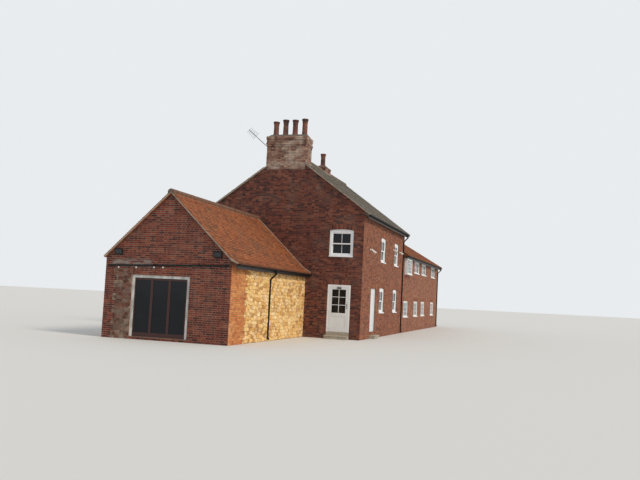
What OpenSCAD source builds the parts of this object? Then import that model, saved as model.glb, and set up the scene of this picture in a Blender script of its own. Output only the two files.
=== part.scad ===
// Brick country inn: a two-storey main house with chimneys, a lower two-storey
// wing in line behind it, and a single-storey outbuilding against its near gable.
// X runs across the building (+X is the road front), Y along it (the outbuilding
// is at the -Y end) and Z is up. The origin is on the ground under the middle of
// the main house. All sizes are millimetres.

/* [Main house] */
// Width of the main house over its brick faces
house_w = 7400; // [6400:50:8600]
// Length of the main house between its gable faces
house_l = 10000; // [9200:50:12000]
// Height of the main house wall at its outer face, up to the rafters
house_wall_h = 5530; // [5300:10:6200]
// Pitch of the main roof in degrees
house_pitch = 36; // [30:1:45]
// Thickness of the main house walls
house_wall_t = 330; // [215:5:450]
// Level of the ground floor above the ground outside
house_floor_z = 300; // [150:10:450]
// Level of the first floor
house_upper_z = 2850; // [2700:10:3000]
// Depth of an upper floor
floor_t = 220; // [150:10:300]

/* [Wing] */
// Width of the wing over its brick faces
wing_w = 7400; // [6400:50:8000]
// Length of the wing beyond the main house
wing_l = 14500; // [13500:50:17000]
// Height of the wing wall at its outer face, up to the rafters
wing_wall_h = 4365; // [4350:5:4700]
// Pitch of the wing roof in degrees
wing_pitch = 30; // [25:1:33]
// Thickness of the wing walls
wing_wall_t = 300; // [215:5:400]
// Level of the wing's ground floor
wing_floor_z = 150; // [100:10:300]
// Level of the wing's first floor
wing_upper_z = 2500; // [2350:10:2700]

/* [Outbuilding] */
// Width of the outbuilding over its brick faces
shed_w = 4885; // [4200:5:5400]
// Length of the outbuilding from the main gable to its own gable face
shed_l = 8260; // [6500:10:9500]
// Distance of the outbuilding's middle line from that of the house
shed_offset = 1345; // [1150:5:1500]
// Height of the outbuilding wall at its outer face, up to the rafters
shed_wall_h = 2730; // [2650:5:3000]
// Pitch of the outbuilding roof in degrees
shed_pitch = 43.5; // [35:0.5:46]
// Pitch of the flatter foot of the outbuilding roof in degrees
foot_pitch = 30; // [22:1:34]
// Length on plan of the flatter foot of the outbuilding roof
foot_run = 330; // [150:5:450]
// Thickness of the outbuilding walls
shed_wall_t = 225; // [200:5:330]
// Level of the outbuilding's floor
shed_floor_z = 100; // [50:5:200]
// Distance on plan that the tiles of the outbuilding's back slope pass its wall
shed_back_over = 60; // [40:5:120]

/* [Roofs] */
// Depth of a roof from the tile faces to the underside of the rafters
roof_t = 160; // [120:5:220]
// Depth of the tiles and battens alone
tile_t = 45; // [30:1:60]
// Distance on plan from a wall face to the lowest tile edge
eaves_over = 260; // [200:5:400]
// Distance that the tiles stand past a gable
verge_over = 90; // [40:5:200]
// Outer radius of a ridge tile
ridge_r = 125; // [90:5:160]
// Wall thickness of a ridge tile
ridge_t = 20; // [14:1:30]
// Distance that the ridge tiles stand past the tiles at a gable
ridge_over = 15; // [5:1:40]
// Thickness of a fascia board
fascia_t = 25; // [18:1:35]
// Height of a fascia board
fascia_h = 165; // [130:5:200]

/* [Rainwater goods] */
// Outer radius of a gutter
gutter_r = 56; // [40:1:65]
// Wall thickness of a gutter
gutter_t = 4; // [3:0.5:8]
// Outer radius of a downpipe
pipe_r = 34; // [28:1:40]
// Distance of the outbuilding's downpipe from the main gable
shed_pipe_y = 4500; // [1000:10:5000]

/* [Gable door] */
// Distance of the doorway's middle from the front corner of the gable
door_from_corner = 1000; // [900:10:1400]
// Width of the doorway in the brickwork
doorway_w = 1040; // [960:10:1200]
// Height of the doorway's head above the ground
doorway_top_z = 2370; // [2300:10:2450]
// Face width of the door frame
door_frame_w = 75; // [60:1:95]
// Depth of the door frame in the wall
door_frame_d = 110; // [90:1:140]
// Thickness of the door leaf
door_t = 44; // [38:1:60]
// Running gap all round the door leaf
door_gap = 7; // [6.5:0.5:9]
// Face width of the door's stiles and top rail
stile_w = 105; // [85:1:130]
// Height of the door's glass above its foot
door_glass_z = 830; // [700:10:1000]
// Face width of the door's glazing bars
door_bar_w = 24; // [16:1:32]
// Radius of the hinge knuckles
knuckle_r = 9; // [7:0.5:12]
// Height of the doorstep
step_h = 150; // [100:5:180]
// Distance that the doorstep stands out from the wall
step_d = 320; // [250:5:450]
// Thickness of the doorstep's tread
tread_t = 50; // [40:1:70]
// Distance that the doorstep's tread passes its riser
nosing = 25; // [10:1:40]
// Height of the pull handle's middle above the ground
handle_z = 1445; // [1200:5:1500]
// Length of the pull handle
handle_l = 220; // [180:10:400]

/* [Main windows] */
// Width of a sash window opening
sash_w = 1090; // [900:10:1200]
// Height of a sash window opening
sash_h = 1230; // [1100:10:1300]
// Level of the upper sash window sills
upper_sill_z = 3600; // [3500:10:3750]
// Level of the lower sash window sills
lower_sill_z = 1140; // [900:10:1250]
// Distance from the gable face to the first front window's middle
front_window_y = 4330; // [3900:10:4700]
// Distance between the middles of the front windows
front_window_pitch = 3400; // [2800:10:3700]
// Rise of a sash window's cambered head
camber = 45; // [15:5:60]
// Face width of a sash window's frame
frame_w = 95; // [60:1:110]
// Depth of a casement window's frame
frame_d = 105; // [90:1:140]
// Face width of the stiles and rails of sashes and casements
rail_w = 50; // [35:1:60]
// Depth of a sash or a casement
rail_d = 45; // [30:1:60]
// Height of a sash's bottom rail
bottom_rail_h = 75; // [50:1:100]
// Length of the horns under an upper sash
horn_l = 45; // [30:1:60]
// Distance from the brick face to a window frame
reveal = 30; // [10:1:80]
// Thickness of the window glass
glass_t = 8; // [4:1:12]
// Thickness of a window sill
sill_t = 50; // [40:1:60]
// Distance that a window sill stands out from the brick face
sill_out = 45; // [20:1:80]

/* [Front door] */
// Distance from the gable face to the middle of the front door
front_door_y = 2400; // [1900:10:2700]
// Width of the front doorway
front_door_w = 1000; // [900:10:1100]

/* [Wing windows] */
// Face width of a casement window's frame
casement_frame_w = 60; // [45:1:80]
// Gap between two casements
leaf_gap = 4; // [3:0.5:6]
// Number of casements in a wing window
lights = 3; // [2:1:4]
// Width of a wing casement opening
casement_w = 1950; // [1400:10:2100]
// Height of an upper wing casement opening
casement_h = 760; // [600:10:780]
// Level of the upper wing sills
wing_sill_z = 3500; // [3450:10:3560]
// Distance from the house to the middle of the second upper casement
casement_b = 4700; // [4000:10:5000]
// Distance from the house to the middle of the third upper casement
casement_c = 7550; // [7400:10:8300]
// Distance from the house to the middle of the fourth upper casement
casement_d = 11800; // [11000:10:12000]
// Width of the boxed window next to the house
box_w = 1550; // [1200:10:1700]
// Height of the boxed window
box_h = 950; // [800:10:970]
// Distance from the house to the middle of the boxed window
box_y = 1150; // [1100:10:1250]
// Distance that the boxed window stands out from the wall
box_out = 170; // [120:5:175]
// Width of a lower wing window opening
lower_w = 1500; // [1100:10:1700]
// Height of a lower wing window opening
lower_h = 950; // [750:10:1100]
// Level of the lower wing sills
lower_z = 850; // [700:10:1000]

/* [Outbuilding doors] */
// Width of the wide opening in the outbuilding's gable
screen_w = 2250; // [1800:10:2800]
// Height of that opening's head above the ground
screen_top_z = 2270; // [2100:10:2350]
// Distance of the opening's middle from the middle of the outbuilding
screen_offset = 230; // [0:10:300]
// Number of glazed leaves in the opening
screen_leaves = 3; // [2:1:4]

/* [Gable chimney] */
// Width of the gable chimney
stack_w = 1870; // [1750:10:2000]
// Depth of the gable chimney
stack_d = 890; // [800:10:1000]
// Distance of the gable chimney's middle from the middle line of the house
stack_offset = 115; // [0:5:200]
// Level of the top of the gable chimney's brickwork
stack_top_z = 9050; // [8950:10:9400]
// Height of one brick course with its joint
course_h = 75; // [70:1:80]
// Distance that each corbelled course stands out
corbel_out = 20; // [10:1:30]
// Height of the sloped mortar bed round the pots
flaunch_h = 150; // [60:5:180]
// Number of pots on the gable chimney
pot_count = 4; // [2:1:4]
// Distance between the pots' middles
pot_pitch = 465; // [420:5:480]

/* [Chimney pots] */
// Height of the lowest chimney pot
pot_h = 630; // [550:10:720]
// Outer radius of a pot's barrel
pot_r = 124; // [110:1:130]
// Outer radius of a pot's flared crown
crown_r = 150; // [145:1:165]
// Wall thickness of a pot
pot_t = 24; // [16:1:32]

/* [Ridge chimney] */
// Distance from the gable face to the near face of the ridge chimney
ridge_stack_y = 5200; // [5100:10:5600]
// Width of the ridge chimney
ridge_stack_w = 480; // [400:10:600]
// Length of the ridge chimney along the ridge
ridge_stack_l = 1000; // [850:10:1200]
// Height of the ridge chimney above the ridge
ridge_stack_h = 170; // [165:5:400]
// Height of the sloped mortar bed round the ridge chimney's pot
ridge_flaunch_h = 100; // [60:5:150]

/* [Aerial] */
// Length of the aerial's boom
aerial_l = 1410; // [900:10:1500]
// Rise of the aerial's boom in degrees
aerial_rise = 40.5; // [20:0.5:60]
// Number of cross rods on the boom
aerial_rods = 6; // [4:1:9]

/* [Lamps] */
// Width of a lamp on the outbuilding's gable
lamp_w = 300; // [200:10:340]
// Height of a lamp
lamp_h = 200; // [160:5:220]
// Distance of each lamp's middle from the outbuilding's corner
lamp_inset = 515; // [400:5:900]
// Distance from the tiles' underside down to the outer top corner of a lamp
lamp_below = 55; // [40:5:250]
// Level of the middle of the rail for a string of small lamps on the outbuilding's gable
light_rail_z = 2640; // [2500:5:2700]
// Slope of that rail in degrees, up towards the front
light_rail_slope = 1.6; // [0:0.1:2.5]
// Height of that rail
light_rail_h = 60; // [40:1:80]
// Depth of that rail
light_rail_d = 50; // [30:1:70]
// Distance from the rail's ends to the outbuilding's corners
light_rail_in = 90; // [20:5:300]
// Outer radius of the lamps on the house front
front_lamp_r = 45; // [35:1:60]
// Length of the long lamp on the house front
long_lamp_l = 270; // [240:5:350]
// Length of the short lamps on the house front
short_lamp_l = 180; // [150:5:240]
// Level of the long lamp
long_lamp_z = 4060; // [3950:10:4300]
// Level of the short lamps
short_lamp_z = 4430; // [4350:10:4600]
// Distance from the gable face to the long lamp
long_lamp_y = 1400; // [800:10:2600]
// Distance of the short lamps from the second front window on either side of them
short_lamp_gap = 300; // [100:10:400]

/* [Hidden] */
$fn = 20;
// Clearance at every seat that isn't face to face
seat = 0.3;
// Overrun of a cut past the faces that it opens
cut = 10;

// Main house
house_half = house_w / 2;
house_rise = tan(house_pitch);
house_ridge_z = house_wall_h + house_half * house_rise + roof_t / cos(house_pitch);

// Wing, whose front is flush with the house front
wing_half = wing_w / 2;
wing_x = house_half - wing_half;
wing_rise = tan(wing_pitch);
wing_ridge_z = wing_wall_h + wing_half * wing_rise + roof_t / cos(wing_pitch);

// Outbuilding
shed_half = shed_w / 2;
shed_rise = tan(shed_pitch);
shed_ridge_z = shed_wall_h + shed_half * shed_rise + roof_t / cos(shed_pitch);
shed_knee = shed_half + eaves_over - foot_run;

// Gable doorway, with its leaf flush with the brick face
doorway_x = house_half - door_from_corner;
leaf_w = doorway_w - 2 * (seat + door_frame_w + door_gap);
leaf_x = doorway_x - leaf_w / 2;
leaf_foot_z = house_floor_z + door_gap;
leaf_h = doorway_top_z - seat - door_frame_w - door_gap - leaf_foot_z;
door_light_w = leaf_w - 2 * stile_w;
door_light_h = leaf_h - door_glass_z - stile_w;
door_bar_y = door_t / 4;
door_glass_y = door_t / 2 + seat;
panel_depth = door_t / 4;
hinge_x = leaf_x - door_gap / 2;
hinge_y = -knuckle_r - seat;
knuckle_h = 40;
knuckle_gap = 1;
hinge_levels = [leaf_foot_z + 200, leaf_foot_z + leaf_h / 2, leaf_foot_z + leaf_h - 200];

// Joinery set back from the outer face of its frame, and the stop behind it
rail_in = 15;
stop_w = 15;
stop_d = 45;
sash_frame_d = rail_in + 2 * rail_d;

// Openings as lists of middle, sill level, width, height and the rise of the head
front_window_middles = [front_window_y, front_window_y + front_window_pitch];
upper_sashes = [for (y = front_window_middles) [y, upper_sill_z, sash_w, sash_h, camber]];
lower_sashes = [for (y = front_window_middles) [y, lower_sill_z, sash_w, sash_h, camber]];
house_front_sashes = concat(upper_sashes, lower_sashes);
front_door_hole = [front_door_y, house_floor_z, front_door_w, doorway_top_z - house_floor_z, 0];
box_hole = [house_l + box_y, wing_sill_z + casement_h - box_h, box_w, box_h, 0];
upper_casements = [for (y = [casement_b, casement_c, casement_d])
    [house_l + y, wing_sill_z, casement_w, casement_h, 0]];
lower_casements = [for (y = [box_y, casement_b, casement_c, casement_d])
    [house_l + y, lower_z, lower_w, lower_h, 0]];
wing_casements = concat(upper_casements, lower_casements);
wing_back_first = [house_l + box_y, wing_sill_z, lower_w, casement_h, 0];
wing_back_casements = concat([wing_back_first], wing_casements);
screen_x = -screen_offset;

// Lamps under the verges of the outbuilding's gable
lamp_x = shed_half - lamp_inset;
lamp_z = shed_wall_h + (roof_t - tile_t) / cos(shed_pitch) + (lamp_inset - lamp_w / 2) * shed_rise
    - lamp_below - lamp_h / 2;

// Short lamps on either side of the second front window
short_lamp_reach = sash_w / 2 + short_lamp_gap;
short_lamp_places = [for (side = [-1, 1]) front_window_middles[1] + side * short_lamp_reach];

// Chimneys: the gable stack has a level bed on the gable and a breast behind it
stack_x = -stack_offset;
stack_bed_z = house_ridge_z - tile_t / cos(house_pitch)
    - (stack_offset + stack_w / 2) * house_rise - course_h;
ridge_stack_top_z = house_ridge_z + ridge_stack_h;
ridge_pot_in = 320;
ridge_pot_y = ridge_stack_y + ridge_pot_in;

// Courses of each head from the lowest up, as counts of corbels that they stand out
gable_head = [1, 2, 1, 1, 2, 2];
ridge_head = [1];

// Heights of the pots against the lowest one, from the back of the house to its front
pot_sizes = [1, 1.13, 1.11, 1.17];

// Places that the three blocks are drawn in, from the near gable of the house
module in_house() translate([0, -house_l / 2, 0]) children();
module in_wing() in_house() translate([wing_x, 0, 0]) children();
module in_shed() in_house() translate([-shed_offset, 0, 0]) children();
module other_side() mirror([1, 0, 0]) children();

// Stands an outline drawn in X and Z upright, from y to y + depth
module upright(y, depth) {
    translate([0, y + depth, 0]) rotate([90, 0, 0]) linear_extrude(depth) children();
}

// Turns a window or door that faces -Y into a long wall, at its opening's sill
module on_front(half, hole) translate([half, hole[0], hole[1]]) rotate(90) children();
module on_back(half, hole) translate([-half, hole[0], hole[1]]) rotate(-90) children();

// Outline of an opening from the middle of its foot, with a cambered head where it has a rise
module opening_outline(w, h, rise) {
    r = rise > 0 ? (w * w / 4 + rise * rise) / (2 * rise) : h;
    intersection() {
        translate([-w / 2, 0]) square([w, h]);
        if (rise > 0) translate([0, h - r]) circle(r = r, $fn = 240);
        else translate([-w / 2, 0]) square([w, h]);
    }
}

// Outline of a gable, which fills the rafters' depth up to the tiles
module gable_outline(half, wall_h, pitch) {
    rise = tan(pitch);
    top = wall_h + (roof_t - tile_t) / cos(pitch) - seat;
    polygon([[-half, 0], [half, 0], [half, top], [0, top + half * rise], [-half, top]]);
}

// A long wall on the +X side, with its top cut to the slope of the rafters
module long_wall(half, wall_h, rise, t, y, length, holes) {
    top = wall_h - seat;
    difference() {
        upright(y, length)
            polygon([[half - t, 0], [half, 0], [half, top], [half - t, top + t * rise]]);
        for (hole = holes) on_front(half, hole) upright(-cut, t + 2 * cut)
            opening_outline(hole[2], hole[3], hole[4]);
    }
}

// Height of the tile faces at a distance from the ridge
function tiles_z(x, ridge_z, pitch, knee, foot) =
    ridge_z - min(x, knee) * tan(pitch) - max(0, x - knee) * tan(foot);

// The +X slope of a roof between two gable faces. The tiles pass the wall by over on plan, and
// stand past a gable wall of thickness near_t or far_t, where the rafters stop inside that wall.
// Where the tiles pass the wall far enough for a fascia and a gutter, the rafters run out to them.
module slope(half, ridge_z, pitch, knee, foot, over, y, length, near_t, far_t) {
    edge = half + over;
    board = edge - gutter_r - fascia_t - seat;
    boarded = board > half;
    tile_v = tile_t / cos(pitch);
    roof_v = roof_t / cos(pitch);
    edge_z = tiles_z(edge, ridge_z, pitch, knee, foot);
    board_z = tiles_z(board, ridge_z, pitch, knee, foot);
    wall_z = ridge_z - half * tan(pitch);
    start = y + (near_t > 0 ? 0 : seat);
    end = y + length - (far_t > 0 ? 0 : seat);
    near = near_t > 0 ? verge_over : 0;
    far = far_t > 0 ? verge_over : 0;
    bend = knee < edge ? [[knee, tiles_z(knee, ridge_z, pitch, knee, foot)]] : [];
    upright(start - near, end - start + near + far) polygon(concat([[0, ridge_z]], bend, [
        [edge, edge_z], [edge, edge_z - tile_t]],
        boarded ? [[board, board_z - tile_v]] : [], [
        [half, wall_z - tile_v], [0, ridge_z - tile_v]]));
    difference() {
        upright(start, end - start) polygon(concat([
            [0, ridge_z - tile_v + cut], [half, wall_z - tile_v + cut]],
            boarded ? [[board, board_z - tile_v + cut],
                [board, wall_z - roof_v - (board - half) * tan(foot)]] : [], [
            [half, wall_z - roof_v], [0, ridge_z - roof_v]]));
        if (near_t > 0) translate([-cut, start - cut, 0])
            cube([half + seat + cut, near_t + seat + cut, ridge_z]);
        if (far_t > 0) translate([-cut, end - far_t - seat, 0])
            cube([half + seat + cut, far_t + seat + cut, ridge_z]);
    }
}

// Ridge tiles resting on both slopes
module ridge_tiles(ridge_z, rise, y, length) {
    middle_z = ridge_z - 0.3 * ridge_r;
    reach = 2 * ridge_r;
    foot_z = ridge_z - reach * (1 + rise);
    upright(y, length) difference() {
        translate([0, middle_z]) circle(r = ridge_r);
        translate([0, middle_z]) circle(r = ridge_r - ridge_t);
        polygon([[0, ridge_z + seat], [reach, ridge_z + seat - reach * rise], [reach, foot_z],
            [-reach, foot_z], [-reach, ridge_z + seat - reach * rise]]);
    }
}

// Height of the foot of a fascia board, whose top is just under the tiles
function fascia_z(half, ridge_z, pitch, knee, foot) =
    tiles_z(half + eaves_over - gutter_r, ridge_z, pitch, knee, foot) - tile_t / cos(pitch)
        - seat - fascia_h;

// A fascia board against the rafters' ends
module fascia(half, foot_z, y, length) {
    translate([half + eaves_over - gutter_r - fascia_t, y, foot_z])
        cube([fascia_t, length, fascia_h]);
}

// Height of a gutter's rim, just under the tile edge
function rim_z(half, ridge_z, pitch, knee, foot) =
    tiles_z(half + eaves_over, ridge_z, pitch, knee, foot) - tile_t - gutter_t;

// A half-round gutter with closed ends, hung on the fascia
module gutter(half, rim, y, length) {
    translate([half + eaves_over + seat, 0, 0]) difference() {
        upright(y, length) intersection() {
            translate([0, rim]) circle(r = gutter_r);
            translate([-gutter_r, rim - gutter_r]) square([2 * gutter_r, gutter_r]);
        }
        upright(y + gutter_t, length - 2 * gutter_t)
            translate([0, rim]) circle(r = gutter_r - gutter_t);
    }
}

// A round bar from one point to another
module bar(a, b, r) {
    d = b - a;
    translate(a) rotate([0, acos(d[2] / norm(d)), atan2(d[1], d[0])]) cylinder(r = r, h = norm(d));
}

// A downpipe from a gutter, in under the fascia to the wall face and down to a shoe
module downpipe(half, rim, board_z, y) {
    $fn = 12;
    socket_r = pipe_r + 8;
    socket_h = 2 * pipe_r;
    out = half + eaves_over + seat;
    back = half + socket_r + seat;
    outlet_z = rim - gutter_r - seat;
    bend_z = board_z - pipe_r;
    foot_z = bend_z - (out - back);
    shoe_z = 3 * pipe_r;
    translate([out, y, bend_z - pipe_r / 2])
        cylinder(r = socket_r, h = outlet_z - bend_z + pipe_r / 2);
    bar([out, y, bend_z], [back, y, foot_z], pipe_r);
    translate([back, y, foot_z - socket_h]) cylinder(r = socket_r, h = socket_h + pipe_r / 2);
    translate([back, y, shoe_z]) cylinder(r = pipe_r, h = foot_z - shoe_z);
    translate([back, y, shoe_z - pipe_r / 2]) cylinder(r = socket_r, h = socket_h);
    bar([back, y, shoe_z], [back + 2 * pipe_r, y, shoe_z - pipe_r], pipe_r);
}

// A closed ring of stiles and rails, drawn from the middle of its foot
module ring(w, h, side, foot, head) {
    difference() {
        translate([-w / 2, 0]) square([w, h]);
        translate([side - w / 2, foot]) square([w - 2 * side, h - foot - head]);
    }
}

// A sill under a window that faces -Y, from a depth y outwards
module sill(w, y) {
    translate([seat - w / 2, y - sill_out, seat]) cube([w - 2 * seat, sill_out + reveal + cut, sill_t]);
}

// A sheet of glass in the middle of the depth of its stiles, from the middle of its foot
module pane(w, h, y) {
    upright(y + (rail_d - glass_t) / 2, glass_t)
        translate([seat - w / 2, seat]) square([w - 2 * seat, h - 2 * seat]);
}

// Inner width and height of a sash window's frame, and the height of one of its two sashes
function sash_inner(w, h) = [w - 2 * (seat + frame_w), h - 2 * (seat + frame_w) - camber];
function one_sash_h(inner) = (inner[1] + rail_w) / 2;

// A sash window that faces -Y, with its sill's foot at the origin. The upper sash is in front
// of the lower one, and its stiles run on as horns under the meeting rail.
module sash_window(w, h) {
    inner = sash_inner(w, h);
    sash_z = seat + frame_w;
    upper_z = sash_z + inner[1] - one_sash_h(inner);
    upright(reveal, sash_frame_d) difference() {
        translate([0, seat]) opening_outline(w - 2 * seat, h - 2 * seat, camber);
        translate([-inner[0] / 2, sash_z]) square(inner);
    }
    sill(w, 0);
    upright(reveal + rail_in, rail_d) {
        translate([0, upper_z])
            ring(inner[0] + 2 * cut, one_sash_h(inner) + cut, rail_w + cut, rail_w, rail_w + cut);
        for (side = [0, 1]) mirror([side, 0]) translate([-inner[0] / 2 - cut, upper_z])
            polygon([[0, cut], [rail_w + cut, cut], [rail_w + cut, -horn_l / 2], [0, -horn_l]]);
    }
    upright(reveal + rail_in + rail_d, rail_d) translate([0, sash_z - cut])
        ring(inner[0] + 2 * cut, one_sash_h(inner) + cut, rail_w + cut, bottom_rail_h + cut, rail_w);
}

module sash_glass(w, h) {
    inner = sash_inner(w, h);
    glass_w = inner[0] - 2 * rail_w;
    sash_z = seat + frame_w;
    translate([0, 0, sash_z + inner[1] - one_sash_h(inner) + rail_w])
        pane(glass_w, one_sash_h(inner) - 2 * rail_w, reveal + rail_in);
    translate([0, 0, sash_z + bottom_rail_h])
        pane(glass_w, one_sash_h(inner) - rail_w - bottom_rail_h, reveal + rail_in + rail_d);
}

// Casements side by side in an inner frame, against stops and mullions behind them
module casements(w, h, y) {
    translate([0, 0, seat + casement_frame_w]) {
        upright(y, rail_d) for (i = [0 : lights - 1])
            translate([w * ((i + 0.5) / lights - 0.5), leaf_gap / 2])
                ring(w / lights - leaf_gap, h - leaf_gap, rail_w, rail_w, rail_w);
        upright(y + rail_d - cut, stop_d + cut) {
            translate([0, -cut]) ring(w + 2 * cut, h + 2 * cut, stop_w + cut, stop_w + cut, stop_w + cut);
            for (i = [1 : lights - 1])
                translate([w * (i / lights - 0.5) - rail_w / 2, -cut]) square([rail_w, h + 2 * cut]);
        }
    }
}

module casement_glass(w, h, y) {
    inner = casement_inner(w, h);
    light = [inner[0] / lights - leaf_gap - 2 * rail_w, inner[1] - leaf_gap - 2 * rail_w];
    for (i = [0 : lights - 1])
        translate([inner[0] * ((i + 0.5) / lights - 0.5), 0,
            seat + casement_frame_w + leaf_gap / 2 + rail_w]) pane(light[0], light[1], y);
}

// Inner width and height of a casement window's frame
function casement_inner(w, h) = [for (size = [w, h]) size - 2 * (seat + casement_frame_w)];

// The frame of a casement window, from a depth y back into the wall
module casement_frame(w, h, y) {
    inner = casement_inner(w, h);
    upright(y, reveal + frame_d - y) difference() {
        translate([seat - w / 2, seat]) square([w - 2 * seat, h - 2 * seat]);
        translate([-inner[0] / 2, seat + casement_frame_w]) square(inner);
    }
    sill(w, min(y, 0));
    casements(inner[0], inner[1], y + rail_in);
}

// Main house walls

module gable_wall_left() {
    color("#7d4433") in_house() upright(0, house_wall_t) translate([-house_half, 0])
        square([house_half + doorway_x - doorway_w / 2, doorway_top_z]);
}

module gable_wall_right() {
    color("#7d4433") in_house() upright(0, house_wall_t) translate([doorway_x + doorway_w / 2, 0])
        square([house_half - doorway_x - doorway_w / 2, doorway_top_z]);
}

// The gable over the doorway, with a level bed for the chimney
module gable_wall_upper() {
    color("#7d4433") in_house() upright(0, house_wall_t) difference() {
        gable_outline(house_half, house_wall_h, house_pitch);
        translate([-house_w, -cut]) square([2 * house_w, doorway_top_z + cut]);
        translate([doorway_x, upper_sill_z]) opening_outline(sash_w, sash_h, camber);
        translate([stack_x - stack_w / 2, stack_bed_z]) square([stack_w, house_w]);
    }
}

module house_front_wall() {
    color("#a8553a") in_house()
        long_wall(house_half, house_wall_h, house_rise, house_wall_t, house_wall_t,
            house_l - 2 * house_wall_t, concat(house_front_sashes, [front_door_hole]));
}

module house_back_wall() {
    color("#7d4433") in_house() other_side()
        long_wall(house_half, house_wall_h, house_rise, house_wall_t, house_wall_t,
            house_l - 2 * house_wall_t, house_front_sashes);
}

module house_far_wall() {
    color("#7d4433") in_house() upright(house_l - house_wall_t, house_wall_t)
        gable_outline(house_half, house_wall_h, house_pitch);
}

// Main house floors and roof

// A floor between the walls, cut round both chimneys
module house_floor(z, depth) {
    inner_half = house_half - house_wall_t;
    difference() {
        translate([-inner_half, house_wall_t, z - depth])
            cube([2 * inner_half, house_l - 2 * house_wall_t, depth]);
        chimney_holes();
    }
}

// Room for both chimneys, with their seats
module chimney_holes() {
    translate([stack_x - stack_w / 2 - seat, -verge_over - cut, -cut])
        cube([stack_w + 2 * seat, stack_d + seat + verge_over + cut, 2 * stack_top_z]);
    translate([-ridge_stack_w / 2 - seat, ridge_stack_y - seat, -cut])
        cube([ridge_stack_w + 2 * seat, ridge_stack_l + 2 * seat, 2 * stack_top_z]);
}

module house_slope() {
    slope(house_half, house_ridge_z, house_pitch, house_w, house_pitch, eaves_over, 0, house_l,
        house_wall_t, house_wall_t);
}

module house_ground_floor() {
    color("#9a938a") in_house() house_floor(house_floor_z, house_floor_z);
}

module house_first_floor() {
    color("#a07c55") in_house() house_floor(house_upper_z, floor_t);
}

module house_roof_front() {
    color("#6f685c") in_house() difference() {
        house_slope();
        chimney_holes();
    }
}

module house_roof_back() {
    color("#6f685c") in_house() difference() {
        other_side() house_slope();
        chimney_holes();
    }
}

// Ridge tiles between the chimneys and on to the far gable
module house_ridge_tiles() {
    near = stack_d + seat;
    past = ridge_stack_y + ridge_stack_l + seat;
    color("#8a5b45") in_house() {
        ridge_tiles(house_ridge_z, house_rise, near, ridge_stack_y - seat - near);
        ridge_tiles(house_ridge_z, house_rise, past, house_l + verge_over + ridge_over - past);
    }
}

// Chimneys

// Corbelled courses on a stack of a given width and length, up to its top
module corbelled_head(w, l, top_z, head) {
    for (i = [0 : len(head) - 1]) {
        out = corbel_out * head[i];
        translate([-w / 2 - out, -out, top_z - (len(head) - i) * course_h])
            cube([w + 2 * out, l + 2 * out, course_h]);
    }
}

// Sloped mortar that beds the pots, level over a width and a length round a middle
module flaunching(w, l, h, top_w, top_l, middle) {
    intersection() {
        upright(-l, 3 * l) polygon([[-w / 2, 0], [w / 2, 0], [top_w / 2, h], [-top_w / 2, h]]);
        translate([-w, 0, 0]) rotate([90, 0, 90]) linear_extrude(2 * w)
            polygon([[0, 0], [l, 0], [middle + top_l / 2, h], [middle - top_l / 2, h]]);
    }
}

module gable_chimney() {
    bed_w = (pot_count - 1) * pot_pitch + 2.4 * pot_r;
    color("#9c553b") in_house() translate([stack_x, 0, 0]) {
        translate([-stack_w / 2, 0, stack_bed_z]) cube([stack_w, stack_d, stack_top_z - stack_bed_z]);
        translate([-stack_w / 2, house_wall_t, 0])
            cube([stack_w, stack_d - house_wall_t, stack_bed_z + cut]);
        corbelled_head(stack_w, stack_d, stack_top_z, gable_head);
        translate([0, 0, stack_top_z])
            flaunching(stack_w, stack_d, flaunch_h, bed_w, 2.4 * pot_r, stack_d / 2);
    }
}

module ridge_chimney() {
    color("#9c553b") in_house() translate([0, ridge_stack_y, 0]) {
        translate([-ridge_stack_w / 2, 0, 0])
            cube([ridge_stack_w, ridge_stack_l, ridge_stack_top_z]);
        corbelled_head(ridge_stack_w, ridge_stack_l, ridge_stack_top_z, ridge_head);
        translate([0, 0, ridge_stack_top_z]) flaunching(ridge_stack_w, ridge_stack_l, ridge_flaunch_h,
            2.4 * pot_r, 2.4 * pot_r, ridge_pot_in);
    }
}

// A tapered pot with a moulded foot and a flared crown
module pot(h) {
    neck_r = pot_r * 0.93;
    rotate_extrude() polygon([
        [pot_r - pot_t, 0], [pot_r + 12, 0], [pot_r + 12, 40], [pot_r, 55],
        [neck_r, h * 0.72], [neck_r + 12, h * 0.74], [neck_r + 12, h * 0.78],
        [neck_r + 4, h * 0.8], [crown_r - 8, h - 68], [crown_r, h - 56], [crown_r, h - 12],
        [crown_r - 8, h], [crown_r - pot_t, h], [neck_r - pot_t, h * 0.8]]);
}

module chimney_pots() {
    color("#b5643f") in_house() {
        for (i = [0 : pot_count - 1])
            translate([stack_x + (i - (pot_count - 1) / 2) * pot_pitch, stack_d / 2,
                stack_top_z + flaunch_h]) pot(pot_h * pot_sizes[i]);
        translate([0, ridge_pot_y, ridge_stack_top_z + ridge_flaunch_h]) pot(pot_h);
    }
}

// Gable door

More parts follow.
